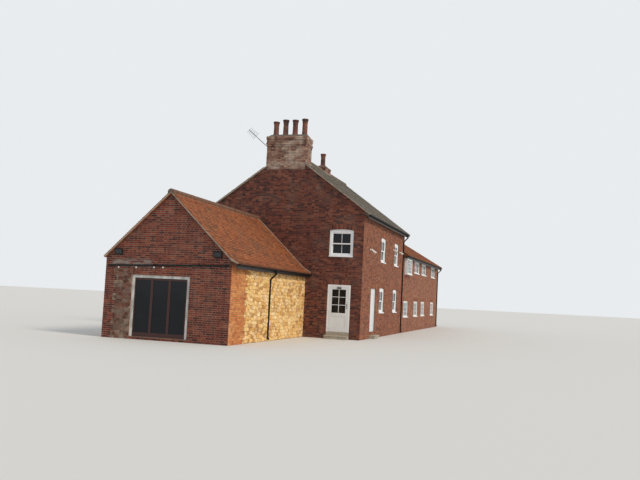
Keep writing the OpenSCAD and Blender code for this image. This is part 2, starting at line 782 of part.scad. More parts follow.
module gable_door_frame() {
    foot = house_floor_z;
    outer_w = doorway_w - 2 * seat;
    outer_h = doorway_top_z - seat - foot;
    stop = door_gap + 13;
    inner_w = outer_w - 2 * door_frame_w;
    color("white") in_house() {
        translate([doorway_x, 0, 0]) {
            upright(0, door_frame_d) translate([0, foot]) difference() {
                translate([-outer_w / 2, 0]) square([outer_w, outer_h]);
                translate([-inner_w / 2, -cut]) square([inner_w, outer_h - door_frame_w + cut]);
            }
            upright(door_t + door_gap, door_frame_d - door_t - door_gap)
                translate([0, foot]) difference() {
                    translate([-outer_w / 2, 0]) square([outer_w, outer_h]);
                    translate([stop - inner_w / 2, -cut])
                        square([inner_w - 2 * stop, outer_h - door_frame_w - stop + cut]);
                }
        }
        for (z = hinge_levels) for (side = [-1, 1])
            translate([hinge_x, hinge_y, z + side * (knuckle_h + knuckle_gap) - knuckle_h / 2]) {
                cylinder(r = knuckle_r, h = knuckle_h);
                translate([-4 * knuckle_r, -hinge_y - 3, 0]) cube([4 * knuckle_r, 3 + seat, knuckle_h]);
            }
    }
}

// The leaf: stiles and rails with a sunk panel below and barred glass above
module gable_door() {
    light_z = leaf_foot_z + door_glass_z;
    panel_z = leaf_foot_z + 1.8 * stile_w;
    color("white") in_house() {
        difference() {
            translate([leaf_x, 0, leaf_foot_z]) cube([leaf_w, door_t, leaf_h]);
            translate([leaf_x + stile_w, -cut, light_z])
                cube([door_light_w, door_t + 2 * cut, door_light_h]);
            for (y = [-cut, door_t - panel_depth])
                translate([leaf_x + stile_w, y, panel_z])
                    cube([door_light_w, panel_depth + cut, light_z - 1.4 * stile_w - panel_z]);
        }
        translate([leaf_x + leaf_w / 2 - door_bar_w / 2, door_bar_y, light_z - cut])
            cube([door_bar_w, door_t / 4, door_light_h + 2 * cut]);
        for (i = [1, 2])
            translate([leaf_x + stile_w - cut, door_bar_y, light_z + i * door_light_h / 3 - door_bar_w / 2])
                cube([door_light_w + 2 * cut, door_t / 4, door_bar_w]);
        for (z = hinge_levels) translate([hinge_x, hinge_y, z - knuckle_h / 2]) {
            cylinder(r = knuckle_r, h = knuckle_h);
            translate([0, -hinge_y - 3, 0]) cube([4 * knuckle_r, 3 + seat, knuckle_h]);
        }
    }
}

module gable_door_glass() {
    color("#33404a") in_house()
        translate([leaf_x + stile_w + seat, door_glass_y, leaf_foot_z + door_glass_z + seat])
            cube([door_light_w - 2 * seat, glass_t, door_light_h - 2 * seat]);
}

// A pull handle on two posts
module gable_door_handle() {
    handle_out = 50;
    grip_r = 11;
    color("#2b2c2e") in_house() translate([leaf_x + leaf_w - stile_w / 2, 0, handle_z]) {
        translate([0, -handle_out, -handle_l / 2]) cylinder(r = grip_r, h = handle_l);
        for (z = [-0.4, 0.4] * handle_l)
            translate([0, -seat, z]) rotate([90, 0, 0]) cylinder(r = grip_r * 0.8, h = handle_out - seat);
    }
}

// The threshold under the door, and a step before it with a rounded tread that passes its riser
module gable_door_step() {
    tread_y = tread_t / 2 - step_d - nosing;
    color("#a59c8d") in_house() translate([doorway_x - doorway_w / 2, 0, 0]) {
        cube([doorway_w, house_wall_t, house_floor_z]);
        translate([0, -step_d, 0]) cube([doorway_w, step_d, step_h - tread_t]);
        translate([0, tread_y, step_h - tread_t]) cube([doorway_w, -tread_y, tread_t]);
        translate([0, tread_y, step_h - tread_t / 2]) rotate([0, 90, 0])
            cylinder(d = tread_t, h = doorway_w);
    }
}

// Front door and windows

module front_door() {
    foot = seat;
    h = front_door_hole[3] - seat;
    inner_w = front_door_w - 2 * (seat + door_frame_w);
    color("white") in_house() on_front(house_half, front_door_hole) {
        upright(reveal, door_frame_d) difference() {
            translate([seat - front_door_w / 2, foot]) square([front_door_w - 2 * seat, h - foot]);
            translate([-inner_w / 2, -cut]) square([inner_w, h - door_frame_w + cut]);
        }
        difference() {
            translate([seat - inner_w / 2, reveal + rail_in, foot])
                cube([inner_w - 2 * seat, door_t, h - door_frame_w - foot - seat]);
            for (z = [2 * stile_w, h / 2]) translate([stile_w - inner_w / 2, reveal + rail_in - cut, z])
                cube([inner_w - 2 * stile_w, panel_depth + cut, h / 2 - 3 * stile_w]);
        }
    }
}

module house_windows() {
    color("white") in_house() {
        translate([doorway_x, 0, upper_sill_z]) sash_window(sash_w, sash_h);
        for (hole = house_front_sashes) {
            on_front(house_half, hole) sash_window(sash_w, sash_h);
            on_back(house_half, hole) sash_window(sash_w, sash_h);
        }
    }
}

// Wing

module wing_front_wall() {
    color("#a8553a") in_wing()
        long_wall(wing_half, wing_wall_h, wing_rise, wing_wall_t, house_l, wing_l - wing_wall_t,
            concat(wing_casements, [box_hole]));
}

module wing_back_wall() {
    color("#7d4433") in_wing() other_side()
        long_wall(wing_half, wing_wall_h, wing_rise, wing_wall_t, house_l, wing_l - wing_wall_t,
            wing_back_casements);
}

module wing_far_gable() {
    color("#7d4433") in_wing() upright(house_l + wing_l - wing_wall_t, wing_wall_t)
        gable_outline(wing_half, wing_wall_h, wing_pitch);
}

// A floor between the wing's walls
module wing_floor(z, depth) {
    inner_half = wing_half - wing_wall_t;
    translate([-inner_half, house_l, z - depth]) cube([2 * inner_half, wing_l - wing_wall_t, depth]);
}

module wing_slope() {
    slope(wing_half, wing_ridge_z, wing_pitch, wing_w, wing_pitch, eaves_over, house_l, wing_l,
        0, wing_wall_t);
}

module wing_ground_floor() {
    color("#9a938a") in_wing() wing_floor(wing_floor_z, wing_floor_z);
}

module wing_first_floor() {
    color("#a07c55") in_wing() wing_floor(wing_upper_z, floor_t);
}

module wing_roof_front() {
    color("#a5613c") in_wing() wing_slope();
}

module wing_roof_back() {
    color("#a5613c") in_wing() other_side() wing_slope();
}

module wing_ridge_tiles() {
    color("#94553a") in_wing()
        ridge_tiles(wing_ridge_z, wing_rise, house_l + seat, wing_l + verge_over + ridge_over - seat);
}

module wing_windows() {
    color("white") in_wing() {
        on_front(wing_half, box_hole) casement_frame(box_w, box_h, -box_out);
        for (hole = wing_casements) on_front(wing_half, hole) casement_frame(hole[2], hole[3], reveal);
        for (hole = wing_back_casements)
            on_back(wing_half, hole) casement_frame(hole[2], hole[3], reveal);
    }
}

// Outbuilding

module outbuilding_gable() {
    color("#8a4a36") in_shed() upright(-shed_l, shed_wall_t) difference() {
        gable_outline(shed_half, shed_wall_h, shed_pitch);
        translate([screen_x - screen_w / 2, shed_floor_z])
            square([screen_w, screen_top_z - shed_floor_z]);
    }
}

module outbuilding_front_wall() {
    color("#b8643f") in_shed()
        long_wall(shed_half, shed_wall_h, shed_rise, shed_wall_t, shed_wall_t - shed_l,
            shed_l - shed_wall_t, []);
}

module outbuilding_back_wall() {
    color("#8a4a36") in_shed() other_side()
        long_wall(shed_half, shed_wall_h, shed_rise, shed_wall_t, shed_wall_t - shed_l,
            shed_l - shed_wall_t, []);
}

module outbuilding_floor() {
    inner_half = shed_half - shed_wall_t;
    color("#9a938a") in_shed() translate([-inner_half, shed_wall_t - shed_l, 0])
        cube([2 * inner_half, shed_l - shed_wall_t, shed_floor_z]);
}

// The front slope has a flatter foot and a gutter, and the back slope has neither
module outbuilding_roof_front() {
    color("#a8623b") in_shed() slope(shed_half, shed_ridge_z, shed_pitch, shed_knee, foot_pitch,
        eaves_over, -shed_l, shed_l, shed_wall_t, 0);
}

module outbuilding_roof_back() {
    color("#a8623b") in_shed() other_side() slope(shed_half, shed_ridge_z, shed_pitch, shed_w,
        shed_pitch, shed_back_over, -shed_l, shed_l, shed_wall_t, 0);
}

module outbuilding_ridge_tiles() {
    color("#8f5639") in_shed()
        ridge_tiles(shed_ridge_z, shed_rise, -shed_l - verge_over - ridge_over,
            shed_l + verge_over + ridge_over - seat);
}

// A white frame with glazed leaves across the wide opening
module outbuilding_doors() {
    w = screen_w - 2 * seat;
    h = screen_top_z - shed_floor_z - seat;
    inner_w = w - 2 * frame_w;
    inner_h = h - frame_w;
    bay = inner_w / screen_leaves;
    color("white") in_shed() translate([screen_x, -shed_l, shed_floor_z]) {
        upright(reveal, frame_d) difference() {
            translate([-w / 2, 0]) square([w, h]);
            translate([-inner_w / 2, -cut]) square([inner_w, inner_h + cut]);
        }
        for (i = [0 : screen_leaves - 1]) upright(reveal + rail_in, door_t) difference() {
            translate([i * bay - inner_w / 2 + seat, seat]) square([bay - 2 * seat, inner_h - 2 * seat]);
            translate([i * bay - inner_w / 2 + rail_w, 3 * rail_w])
                square([bay - 2 * rail_w, inner_h - 4.5 * rail_w]);
        }
    }
}

// Glass of the outbuilding's leaves, in the middle of their thickness
module outbuilding_glass() {
    inner_w = screen_w - 2 * (seat + frame_w);
    inner_h = screen_top_z - shed_floor_z - seat - frame_w;
    bay = inner_w / screen_leaves;
    translate([screen_x, -shed_l, shed_floor_z]) for (i = [0 : screen_leaves - 1])
        upright(reveal + rail_in + (door_t - glass_t) / 2, glass_t)
            translate([i * bay - inner_w / 2 + rail_w + seat, 3 * rail_w + seat])
                square([bay - 2 * rail_w - 2 * seat, inner_h - 4.5 * rail_w - 2 * seat]);
}

// Glass of every fixed window
module window_glass() {
    color("#3a4650") {
        in_house() {
            translate([doorway_x, 0, upper_sill_z]) sash_glass(sash_w, sash_h);
            for (hole = house_front_sashes) {
                on_front(house_half, hole) sash_glass(sash_w, sash_h);
                on_back(house_half, hole) sash_glass(sash_w, sash_h);
            }
        }
        in_wing() {
            on_front(wing_half, box_hole) casement_glass(box_w, box_h, rail_in - box_out);
            for (hole = wing_casements)
                on_front(wing_half, hole) casement_glass(hole[2], hole[3], reveal + rail_in);
            for (hole = wing_back_casements)
                on_back(wing_half, hole) casement_glass(hole[2], hole[3], reveal + rail_in);
        }
        in_shed() outbuilding_glass();
    }
}

// Eaves

house_board = fascia_z(house_half, house_ridge_z, house_pitch, house_w, house_pitch);
wing_board = fascia_z(wing_half, wing_ridge_z, wing_pitch, wing_w, wing_pitch);
shed_board = fascia_z(shed_half, shed_ridge_z, shed_pitch, shed_knee, foot_pitch);
house_rim = rim_z(house_half, house_ridge_z, house_pitch, house_w, house_pitch);
wing_rim = rim_z(wing_half, wing_ridge_z, wing_pitch, wing_w, wing_pitch);
shed_rim = rim_z(shed_half, shed_ridge_z, shed_pitch, shed_knee, foot_pitch);

module fascias() {
    color("#3b3a38") for (side = [0, 1]) {
        in_house() mirror([side, 0, 0]) fascia(house_half, house_board, 0, house_l);
        in_wing() mirror([side, 0, 0]) fascia(wing_half, wing_board, house_l + seat, wing_l - seat);
    }
    color("#3b3a38") in_shed() fascia(shed_half, shed_board, -shed_l, shed_l - seat);
}

module gutters() {
    color("#26282b") for (side = [0, 1]) {
        in_house() mirror([side, 0, 0]) gutter(house_half, house_rim, 0, house_l);
        in_wing() mirror([side, 0, 0]) gutter(wing_half, wing_rim, house_l + seat, wing_l - seat);
    }
    color("#26282b") in_shed() gutter(shed_half, shed_rim, -shed_l, shed_l - seat);
}

module downpipes() {
    from_end = 400;
    color("#26282b") {
        in_shed() downpipe(shed_half, shed_rim, shed_board, -shed_pipe_y);
        for (side = [0, 1]) {
            in_house() mirror([side, 0, 0])
                downpipe(house_half, house_rim, house_board, house_l - from_end);
            in_wing() mirror([side, 0, 0])
                downpipe(wing_half, wing_rim, wing_board, house_l + wing_l - from_end);
        }
    }
}

// Fittings

// A lamp on a bracket, tipped down at its front
module lamp() {
    lamp_d = 90;
    bracket = 60;
    translate([-bracket / 2, -bracket, -bracket / 2]) cube([bracket, bracket - seat, bracket]);
    translate([0, -bracket, 0]) rotate([15, 0, 0])
        translate([-lamp_w / 2, -lamp_d / 2, -lamp_h / 2]) cube([lamp_w, lamp_d / 2 + cut, lamp_h]);
}

// Lamps under both verges, and a rail across the gable for a string of small lamps
module gable_lamps() {
    color("#2e3236") in_shed() {
        for (side = [-1, 1]) translate([side * lamp_x, -shed_l, lamp_z]) lamp();
        translate([0, -shed_l - seat - light_rail_d / 2, light_rail_z]) rotate([0, -light_rail_slope, 0])
            cube([shed_w - 2 * light_rail_in, light_rail_d, light_rail_h], center = true);
    }
}

// A round lamp on a wall plate, tipped down and away from a wall that faces +X
module wall_lamp(length) {
    tip = 35;
    plate_t = 15;
    hood = 6;
    head_x = plate_t + front_lamp_r;
    rotate([0, 90, 0]) cylinder(r = front_lamp_r, h = plate_t);
    rotate([0, 90, 0]) cylinder(r = front_lamp_r / 3, h = head_x);
    translate([head_x, 0, 0]) rotate([0, 90 + tip, 0]) {
        cylinder(r = front_lamp_r, h = length);
        translate([0, 0, 0.7 * length]) cylinder(r = front_lamp_r + hood, h = 0.3 * length);
    }
}

module front_lamps() {
    color("white") in_house() translate([house_half + seat, 0, 0]) {
        translate([0, long_lamp_y, long_lamp_z]) wall_lamp(long_lamp_l);
        for (y = short_lamp_places) translate([0, y, short_lamp_z]) wall_lamp(short_lamp_l);
    }
}

// An aerial on a bracket on the back face of the gable chimney
module tv_aerial() {
    boom_r = 14;
    rod_r = 6;
    rod_l = 300;
    rod_gap = 90;
    foot_y = 300;
    bracket = [60, 80, 100];
    foot = [stack_x - stack_w / 2 - seat, foot_y,
        stack_top_z - len(gable_head) * course_h - bracket[2] / 2 - cut];
    along = [-cos(aerial_rise), 0, sin(aerial_rise)];
    across = [sin(aerial_rise), 0, cos(aerial_rise)];
    color("#8d9094") in_house() {
        translate(foot - [bracket[0], bracket[1] / 2, bracket[2] / 2]) cube(bracket);
        bar(foot + along * bracket[0] / 2, foot + along * aerial_l, boom_r);
        for (i = [0 : aerial_rods - 1]) {
            middle = foot + along * (aerial_l - rod_gap * (i + 0.3));
            half = rod_l / 2 * (1 + 0.06 * i);
            bar(middle - across * half, middle + across * half, rod_r);
        }
    }
}

gable_wall_left();
gable_wall_right();
gable_wall_upper();
house_front_wall();
house_back_wall();
house_far_wall();
house_ground_floor();
house_first_floor();
house_roof_front();
house_roof_back();
house_ridge_tiles();
gable_chimney();
ridge_chimney();
chimney_pots();
gable_door_frame();
gable_door();
gable_door_glass();
gable_door_handle();
gable_door_step();
front_door();
house_windows();
wing_front_wall();
wing_back_wall();
wing_far_gable();
wing_ground_floor();
wing_first_floor();
wing_roof_front();
wing_roof_back();
wing_ridge_tiles();
wing_windows();
outbuilding_gable();
outbuilding_front_wall();
outbuilding_back_wall();
outbuilding_floor();
outbuilding_roof_front();
outbuilding_roof_back();
outbuilding_ridge_tiles();
outbuilding_doors();
window_glass();
fascias();
gutters();
downpipes();
gable_lamps();
front_lamps();
tv_aerial();
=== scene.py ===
import math
import random
import bpy
from mathutils import Matrix, Vector


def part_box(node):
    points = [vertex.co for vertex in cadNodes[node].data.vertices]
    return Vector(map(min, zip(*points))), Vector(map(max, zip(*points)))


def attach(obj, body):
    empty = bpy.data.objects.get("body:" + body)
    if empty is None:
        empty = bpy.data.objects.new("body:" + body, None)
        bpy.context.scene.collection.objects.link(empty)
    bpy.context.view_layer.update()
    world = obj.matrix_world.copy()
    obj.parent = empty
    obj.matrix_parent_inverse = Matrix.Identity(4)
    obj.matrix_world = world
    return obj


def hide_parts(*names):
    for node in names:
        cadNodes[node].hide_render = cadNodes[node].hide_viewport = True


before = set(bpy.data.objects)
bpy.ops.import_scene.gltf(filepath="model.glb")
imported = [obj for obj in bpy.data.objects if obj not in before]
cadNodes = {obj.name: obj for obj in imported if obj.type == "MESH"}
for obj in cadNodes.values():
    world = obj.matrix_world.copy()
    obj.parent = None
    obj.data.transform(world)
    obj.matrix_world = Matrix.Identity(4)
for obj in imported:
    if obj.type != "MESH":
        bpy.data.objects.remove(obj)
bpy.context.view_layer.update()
print("frame loaded:", len(cadNodes), "nodes")


def tint(code):  # a web colour such as "#8c4a35" as linear light
    parts = [int(code[i:i + 2], 16) / 255 for i in (1, 3, 5)]
    return tuple(c / 12.92 if c <= 0.04045 else ((c + 0.055) / 1.055) ** 2.4 for c in parts) + (1.0,)


def add(tree, kind, inputs=None, **settings):  # a node with its settings, values and links
    node = tree.nodes.new(kind)
    for key, value in settings.items():
        setattr(node, key, value)
    for key, value in (inputs or {}).items():
        if isinstance(value, bpy.types.NodeSocket):
            tree.links.new(value, node.inputs[key])
        else:
            node.inputs[key].default_value = value
    return node


def put(tree, kind, inputs=None, **settings):  # the first output of a new node
    return add(tree, kind, inputs, **settings).outputs[0]


def maths(tree, operation, a, b=0.0):
    return put(tree, "ShaderNodeMath", {0: a, 1: b}, operation=operation)


def stand(name, data):  # a new object in the scene
    thing = bpy.data.objects.new(name, data)
    bpy.context.scene.collection.objects.link(thing)
    return thing


def shape(name, points, faces=(), edges=()):
    mesh = bpy.data.meshes.new(name)
    mesh.from_pydata(points, edges, faces)
    return stand(name, mesh)


# Camera and stage, matched to the photograph's viewpoint

shot = {
    "position": (11.30, -36.89, 1.817),
    "yaw": 16.744,          # degrees left of +Y
    "pitch": 4.312,         # degrees up
    "roll": 2.825,
    "focalPixels": 748.5,   # at an image width of 640 pixels
    "imageWidth": 640,
    "sensor": 36.0,
    "sight": 500.0,         # how far the camera sees
}


def placeCamera():
    yaw, pitch, roll = (math.radians(shot[key]) for key in ("yaw", "pitch", "roll"))
    ahead = Vector((-math.sin(yaw) * math.cos(pitch), math.cos(yaw) * math.cos(pitch), math.sin(pitch)))
    level = Vector((math.cos(yaw), math.sin(yaw), 0.0))
    upright = level.cross(ahead)
    across = level * math.cos(roll) + upright * math.sin(roll)
    above = upright * math.cos(roll) - level * math.sin(roll)
    camera = stand("camera", bpy.data.cameras.new("camera"))
    turn = Matrix((across, above, -ahead)).transposed().to_4x4()
    camera.matrix_world = Matrix.Translation(shot["position"]) @ turn
    camera.data.sensor_width = shot["sensor"]
    camera.data.lens = shot["focalPixels"] / shot["imageWidth"] * shot["sensor"]
    camera.data.clip_end = shot["sight"]
    bpy.context.scene.camera = camera


stageLook = {
    "floor": "#dcdad5",
    "floorRough": 0.9,
    "floorSize": 400.0,
    "floorDrop": 0.004,     # how far the floor lies under the building
    "backdrop": ("#e9ecee", 1.0),
    "sky": ("#dfe8f2", 0.72),
    "sunColour": "#fff2e0",
    "sunStrength": 1.9,
    "sunFrom": (0.86, -0.30, 0.72),
    "sunSpread": 14.0,      # degrees
}


def buildStage():
    scene = bpy.context.scene
    scene.view_settings.view_transform = "Standard"
    scene.world = bpy.data.worlds.new("studio")
    scene.world.use_nodes = True
    tree = scene.world.node_tree
    tree.nodes.clear()
    rays = add(tree, "ShaderNodeLightPath").outputs
    seen = maths(tree, "MAXIMUM", rays["Is Camera Ray"], rays["Is Glossy Ray"])
    seen = maths(tree, "MAXIMUM", seen, rays["Is Transmission Ray"])
    light, back = (put(tree, "ShaderNodeBackground", {"Color": tint(colour), "Strength": strength})
                   for colour, strength in (stageLook["sky"], stageLook["backdrop"]))
    both = put(tree, "ShaderNodeMixShader", {0: seen, 1: light, 2: back})
    add(tree, "ShaderNodeOutputWorld", {"Surface": both})
    sun = bpy.data.lights.new("key", "SUN")
    sun.energy = stageLook["sunStrength"]
    sun.color = tint(stageLook["sunColour"])[:3]
    sun.angle = math.radians(stageLook["sunSpread"])
    stand("key", sun).rotation_euler = Vector(stageLook["sunFrom"]).to_track_quat("Z", "Y").to_euler()
    half = stageLook["floorSize"] / 2
    floor = shape("floor", [(-half, -half, 0), (half, -half, 0), (half, half, 0), (-half, half, 0)],
                  [(0, 1, 2, 3)])
    floor.location.z = -stageLook["floorDrop"]
    done(start("floorPaint"), tint(stageLook["floor"]), rough=stageLook["floorRough"])
    floor.data.materials.append(finishes["floorPaint"])


# Shader recipes, all on Object coordinates or on the tone attribute that each unit carries

finishes = {}


def start(name):
    material = bpy.data.materials.new(name)
    material.use_nodes = True
    material.node_tree.nodes.clear()
    finishes[name] = material
    add(material.node_tree, "ShaderNodeTexCoord")
    return material.node_tree


def where(tree):
    return tree.nodes["Texture Coordinate"].outputs["Object"]


reliefs = {   # depth in metres, then the noise's scale, detail and stretch
    "brick": (0.002, 160.0, 3.0),
    "mortar": (0.002, 120.0, 3.0),
    "tile": (0.002, 60.0, 4.0),
    "stone": (0.008, 45.0, 5.0),
    "clay": (0.0015, 80.0, 3.0),
    "paint": (0.0006, 240.0, 2.0, (1.0, 1.0, 0.08)),
    "metal": (0.0004, 150.0, 2.0),
    "plastic": (0.0006, 90.0, 2.0),
    "glass": (0.002, 2.2, 2.0),
    "boards": (0.001, 12.0, 5.0, (6.0, 0.6, 6.0)),
    "bulb": (0.0005, 40.0, 3.0),
    "lens": (0.001,),   # its height is the ribs'
    "door": (0.001, 14.0, 5.0, (5.0, 5.0, 0.5)),
}


def done(tree, colour, rough, relief=None, height=None, level=0.5, metal=0.0):
    inputs = {"Base Color": colour, "Roughness": rough, "Specular IOR Level": level, "Metallic": metal}
    if relief:
        depth, *pattern = reliefs[relief]
        height = noise(tree, *pattern) if height is None else height
        inputs["Normal"] = put(tree, "ShaderNodeBump", {"Height": height, "Distance": depth})
    add(tree, "ShaderNodeOutputMaterial", {"Surface": put(tree, "ShaderNodeBsdfPrincipled", inputs)})


def noise(tree, scale, detail, stretch=None):
    place = where(tree)
    if stretch:
        place = put(tree, "ShaderNodeMapping", {"Vector": place, "Scale": stretch})
    return put(tree, "ShaderNodeTexNoise", {"Vector": place, "Scale": scale, "Detail": detail})


def palette(tree, factor, codes):  # evenly spaced colours
    node = add(tree, "ShaderNodeValToRGB", {"Fac": factor})
    elements = node.color_ramp.elements
    for index, code in enumerate(codes):
        place = index / (len(codes) - 1)
        element = elements[index] if index < 2 else elements.new(place)
        element.position = place
        element.color = tint(code)
    return node.outputs[0]


def band(tree, value, low, high, most=1.0):  # rises from 0 to most between low and high
    return put(tree, "ShaderNodeMapRange", {0: value, 1: low, 2: high, 3: 0.0, 4: most})


def blend(tree, factor, a, b):
    return add(tree, "ShaderNodeMix", {0: factor, 6: a, 7: b}, data_type="RGBA").outputs[2]


def axes(tree):
    return add(tree, "ShaderNodeSeparateXYZ", {0: where(tree)}).outputs


def toneOf(tree):
    return add(tree, "ShaderNodeAttribute", attribute_name="tone").outputs["Fac"]


patterns = {   # a noise's scale and detail, where it starts to show and where it is full, how much it then
    # covers unless a look says so, and its stretch
    "brickGrit": (42.0, 4.0, 0.35, 0.75, 0.45),
    "brickWeather": (0.9, 3.0, 0.42, 0.72, 0.35),
    "brickBloom": (2.1, 5.0, 0.5, 0.72, 1.0),
    "mortarSmear": (3.0, 5.0, 0.38, 0.56, 0.9, (1.0, 1.0, 4.0)),
    "mortarPatches": (3.0, 4.0, 0.35, 0.7, 1.0),
    "mortarGrit": (120.0, 3.0, 0.4, 0.8, 0.4),
    "tileGrain": (60.0, 4.0, 0.4, 0.8, 0.4),
    "tileMoss": (1.3, 4.0, 0.47, 0.7, 0.4),
    "lichenSpread": (0.8, 3.0, 0.42, 0.62, 1.0),
    "vergePatches": (9.0, 4.0, 0.4, 0.65, 1.0),
    "stoneVeins": (14.0, 6.0, 0.48, 0.78, 0.6),
    "stonePale": (5.0, 4.0, 0.5, 0.72, 0.55),
    "clayGrain": (80.0, 3.0, 0.45, 0.8, 0.3),
    "claySoot": (4.0, 4.0, 0.45, 0.65, 1.0),
    "paintStreaks": (9.0, 4.0, 0.45, 0.8, 1.0, (1.0, 1.0, 0.25)),
    "paintChips": (55.0, 5.0, 0.7, 0.74, 0.5),
    "metalCloud": (18.0, 4.0, 0.4, 0.75, 0.4),
    "plasticDust": (6.0, 4.0, 0.42, 0.75, 0.5),
    "doorWear": (5.0, 5.0, 0.40, 0.62, 0.8, (1.0, 1.0, 0.4)),
    "doorGrain": (14.0, 5.0, 0.55, 0.75, 0.5, (5.0, 5.0, 0.5)),
}


def plain(tree, pattern):  # a pattern's noise
    scale, detail, _, _, _, *stretch = patterns[pattern]
    return noise(tree, scale, detail, *stretch)


def shows(tree, pattern, most=None):  # where a pattern shows
    low, high, own = patterns[pattern][2:5]
    return band(tree, plain(tree, pattern), low, high, own if most is None else most)


def coat(tree, base, code, pattern, most=None):  # a colour over another one, where a pattern shows
    return blend(tree, shows(tree, pattern, most), base, tint(code))


def smoke(tree, base, code, low, high, most):  # a colour that comes in with height
    return blend(tree, band(tree, axes(tree)[2], low, high, most), base, tint(code))


brickLooks = {
    # The house's brick comes in two copies: a darker one with painted shade on the walls that face south,
    # west and north, and a lighter one with painted sunlight on the walls that face east
    "houseBrick": {"units": ["#361b18", "#552922", "#673529", "#753c2b", "#824632", "#925944"],
                   "wash": "#8d7a69", "washed": 0.44},
    "frontBrick": {"units": ["#5a3124", "#7c432c", "#915236", "#a0603d", "#ac6f4a", "#8a4f37"],
                   "wash": "#a48b72", "washed": 0.4},
    # The outbuilding's brick also comes in two copies: the gable's, darkened with painted shade, and the
    # quoins', lightened with painted sunlight
    "gableBrick": {"units": ["#3f1a12", "#582217", "#68291a", "#76321f", "#853d27", "#935239"],
                   "wash": "#94705c", "washed": 0.4,
                   "smear": {"x": (-3.6, -1.9), "z": (2.5, 2.86), "fade": 0.12, "colour": "#8c847d"}},
    "quoinBrick": {"units": ["#a05a32", "#be723f", "#d18247", "#de9657", "#c0743f", "#e6a764"],
                   "wash": "#e2bd84", "washed": 0.56},
    "chimneyBrick": {"units": ["#54382f", "#755041", "#8d6453", "#a07864", "#b08b75", "#805b4c"],
                     "wash": "#cdbda9", "washed": 1.52, "soot": ("#2a211e", 9.1, 9.7, 0.45)},
}


def brickFinish(name, look):
    tree = start(name)
    base = palette(tree, toneOf(tree), look["units"])
    base = coat(tree, base, look["units"][0], "brickGrit")
    base = coat(tree, base, look["units"][1], "brickWeather")
    bloom = maths(tree, "MULTIPLY", shows(tree, "brickBloom"), plain(tree, "brickGrit"))
    base = blend(tree, maths(tree, "MULTIPLY", bloom, look["washed"]), base, tint(look["wash"]))
    if "soot" in look:
        base = smoke(tree, base, *look["soot"])
    if "smear" in look:   # mortar that was wiped over the faces
        smear = look["smear"]
        mask = shows(tree, "mortarSmear")
        for axis, (low, high) in ((0, smear["x"]), (2, smear["z"])):
            for end, inward in ((low, smear["fade"]), (high, -smear["fade"])):
                mask = maths(tree, "MULTIPLY", mask, band(tree, axes(tree)[axis], end, end + inward))
        base = blend(tree, mask, base, tint(smear["colour"]))
    done(tree, base, rough=0.9, relief="brick")


mortarLooks = {
    "houseMortar": ("#73655a", "#5b4e45"),
    "gableMortar": ("#b9a592", "#917d6d"),
    "paleMortar": ("#a3895f", "#7f6544"),
    "vergeMortar": ("#b5a491", "#877567"),
}


def mortarFinish(name, look):
    tree = start(name)
    light, dark = look
    base = coat(tree, tint(light), dark, "mortarPatches")
    done(tree, coat(tree, base, dark, "mortarGrit"), rough=0.95, relief="mortar")


greyTile = {"units": ["#5d5851", "#706b62", "#7f796f", "#8f887d", "#746d62", "#7e6e5e"],
            "lichen": "#b5b0a1", "lichened": 0.6, "moss": "#6c695f"}
orangeTile = {"units": ["#6c3d23", "#854928", "#98552d", "#a56034", "#8d502d", "#ad6d3f"],
              "lichen": "#a08c6a", "lichened": 0.22, "moss": "#5e4a35"}
tileLooks = {   # the roofs' slabs are pointed along the verges: the node and which end of it
    "greyTile": greyTile,
    "orangeTile": orangeTile,
    "greyRoof": {**greyTile, "verges": [("house_roof_front", 0), ("house_roof_front", 1)]},
    "wingRoof": {**orangeTile, "verges": [("wing_roof_front", 1)]},
    "outbuildingRoof": {**orangeTile, "verges": [("outbuilding_roof_front", 0)]},
}


lichen = {"scale": 16.0, "edge": (0.34, 0.2)}   # spots, and the distances between which one fades in
vergeDepth = 0.002                              # how far in a slab's edge is pointed


def tileFinish(name, look):
    tree = start(name)
    base = palette(tree, toneOf(tree), look["units"])
    base = coat(tree, base, look["units"][0], "tileGrain")
    base = coat(tree, base, look["moss"], "tileMoss")
    spots = put(tree, "ShaderNodeTexVoronoi", {"Vector": where(tree), "Scale": lichen["scale"]})
    dots = maths(tree, "MULTIPLY", band(tree, spots, *lichen["edge"]), shows(tree, "lichenSpread"))
    base = blend(tree, maths(tree, "MULTIPLY", dots, look["lichened"]), base, tint(look["lichen"]))
    light, dark = mortarLooks["vergeMortar"]
    for node, end in look.get("verges", ()):
        edge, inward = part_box(node)[end].y, -vergeDepth if end else vergeDepth
        mask = band(tree, axes(tree)[1], edge + inward, edge + inward / 2)
        base = blend(tree, mask, base, coat(tree, tint(light), dark, "vergePatches"))
    done(tree, base, rough=0.88, relief="tile")


stoneLooks = {
    "rubbleStone": {"units": ["#b3834b", "#dfab60", "#f5cd88", "#e9b76c", "#fbdda6", "#bb8856"],
                    "vein": "#8f663b", "pale": "#fce7b6"},
    "fieldStone": {"units": ["#4f2f25", "#6c3d2f", "#7d4e3c", "#6d5b50", "#8c7361", "#5b3c31"],
                   "vein": "#3b2922", "pale": "#a39180"},
}


def stoneFinish(name, look):
    tree = start(name)
    base = palette(tree, toneOf(tree), look["units"])
    base = coat(tree, base, look["vein"], "stoneVeins")
    done(tree, coat(tree, base, look["pale"], "stonePale"), rough=0.92, relief="stone")


clayLooks = {
    "ridgeClay": {"units": ["#4b352a", "#6b4b38", "#7d5a43", "#5b473a"], "sooty": 0.4},
    "greyRidgeClay": {"units": ["#4e4439", "#655a4b", "#75604b", "#5a4d40"], "sooty": 0.4},
    "potClay": {"units": ["#4c3029", "#6a4135", "#825041", "#57392f"], "sooty": 0.85,
                "mouths": ("#251d1b", 9.68, 9.84, 0.7)},
    "stepStone": {"units": ["#8a8375", "#a39b8c", "#b3ab9b", "#958d7e"], "sooty": 0.12},
    "floorScreed": {"units": ["#8a857c", "#9a958c", "#a6a198", "#918c83"], "sooty": 0.1},
}


clayMix = (7.0, 4.0)   # scale and detail of the noise that mixes a clay's colours


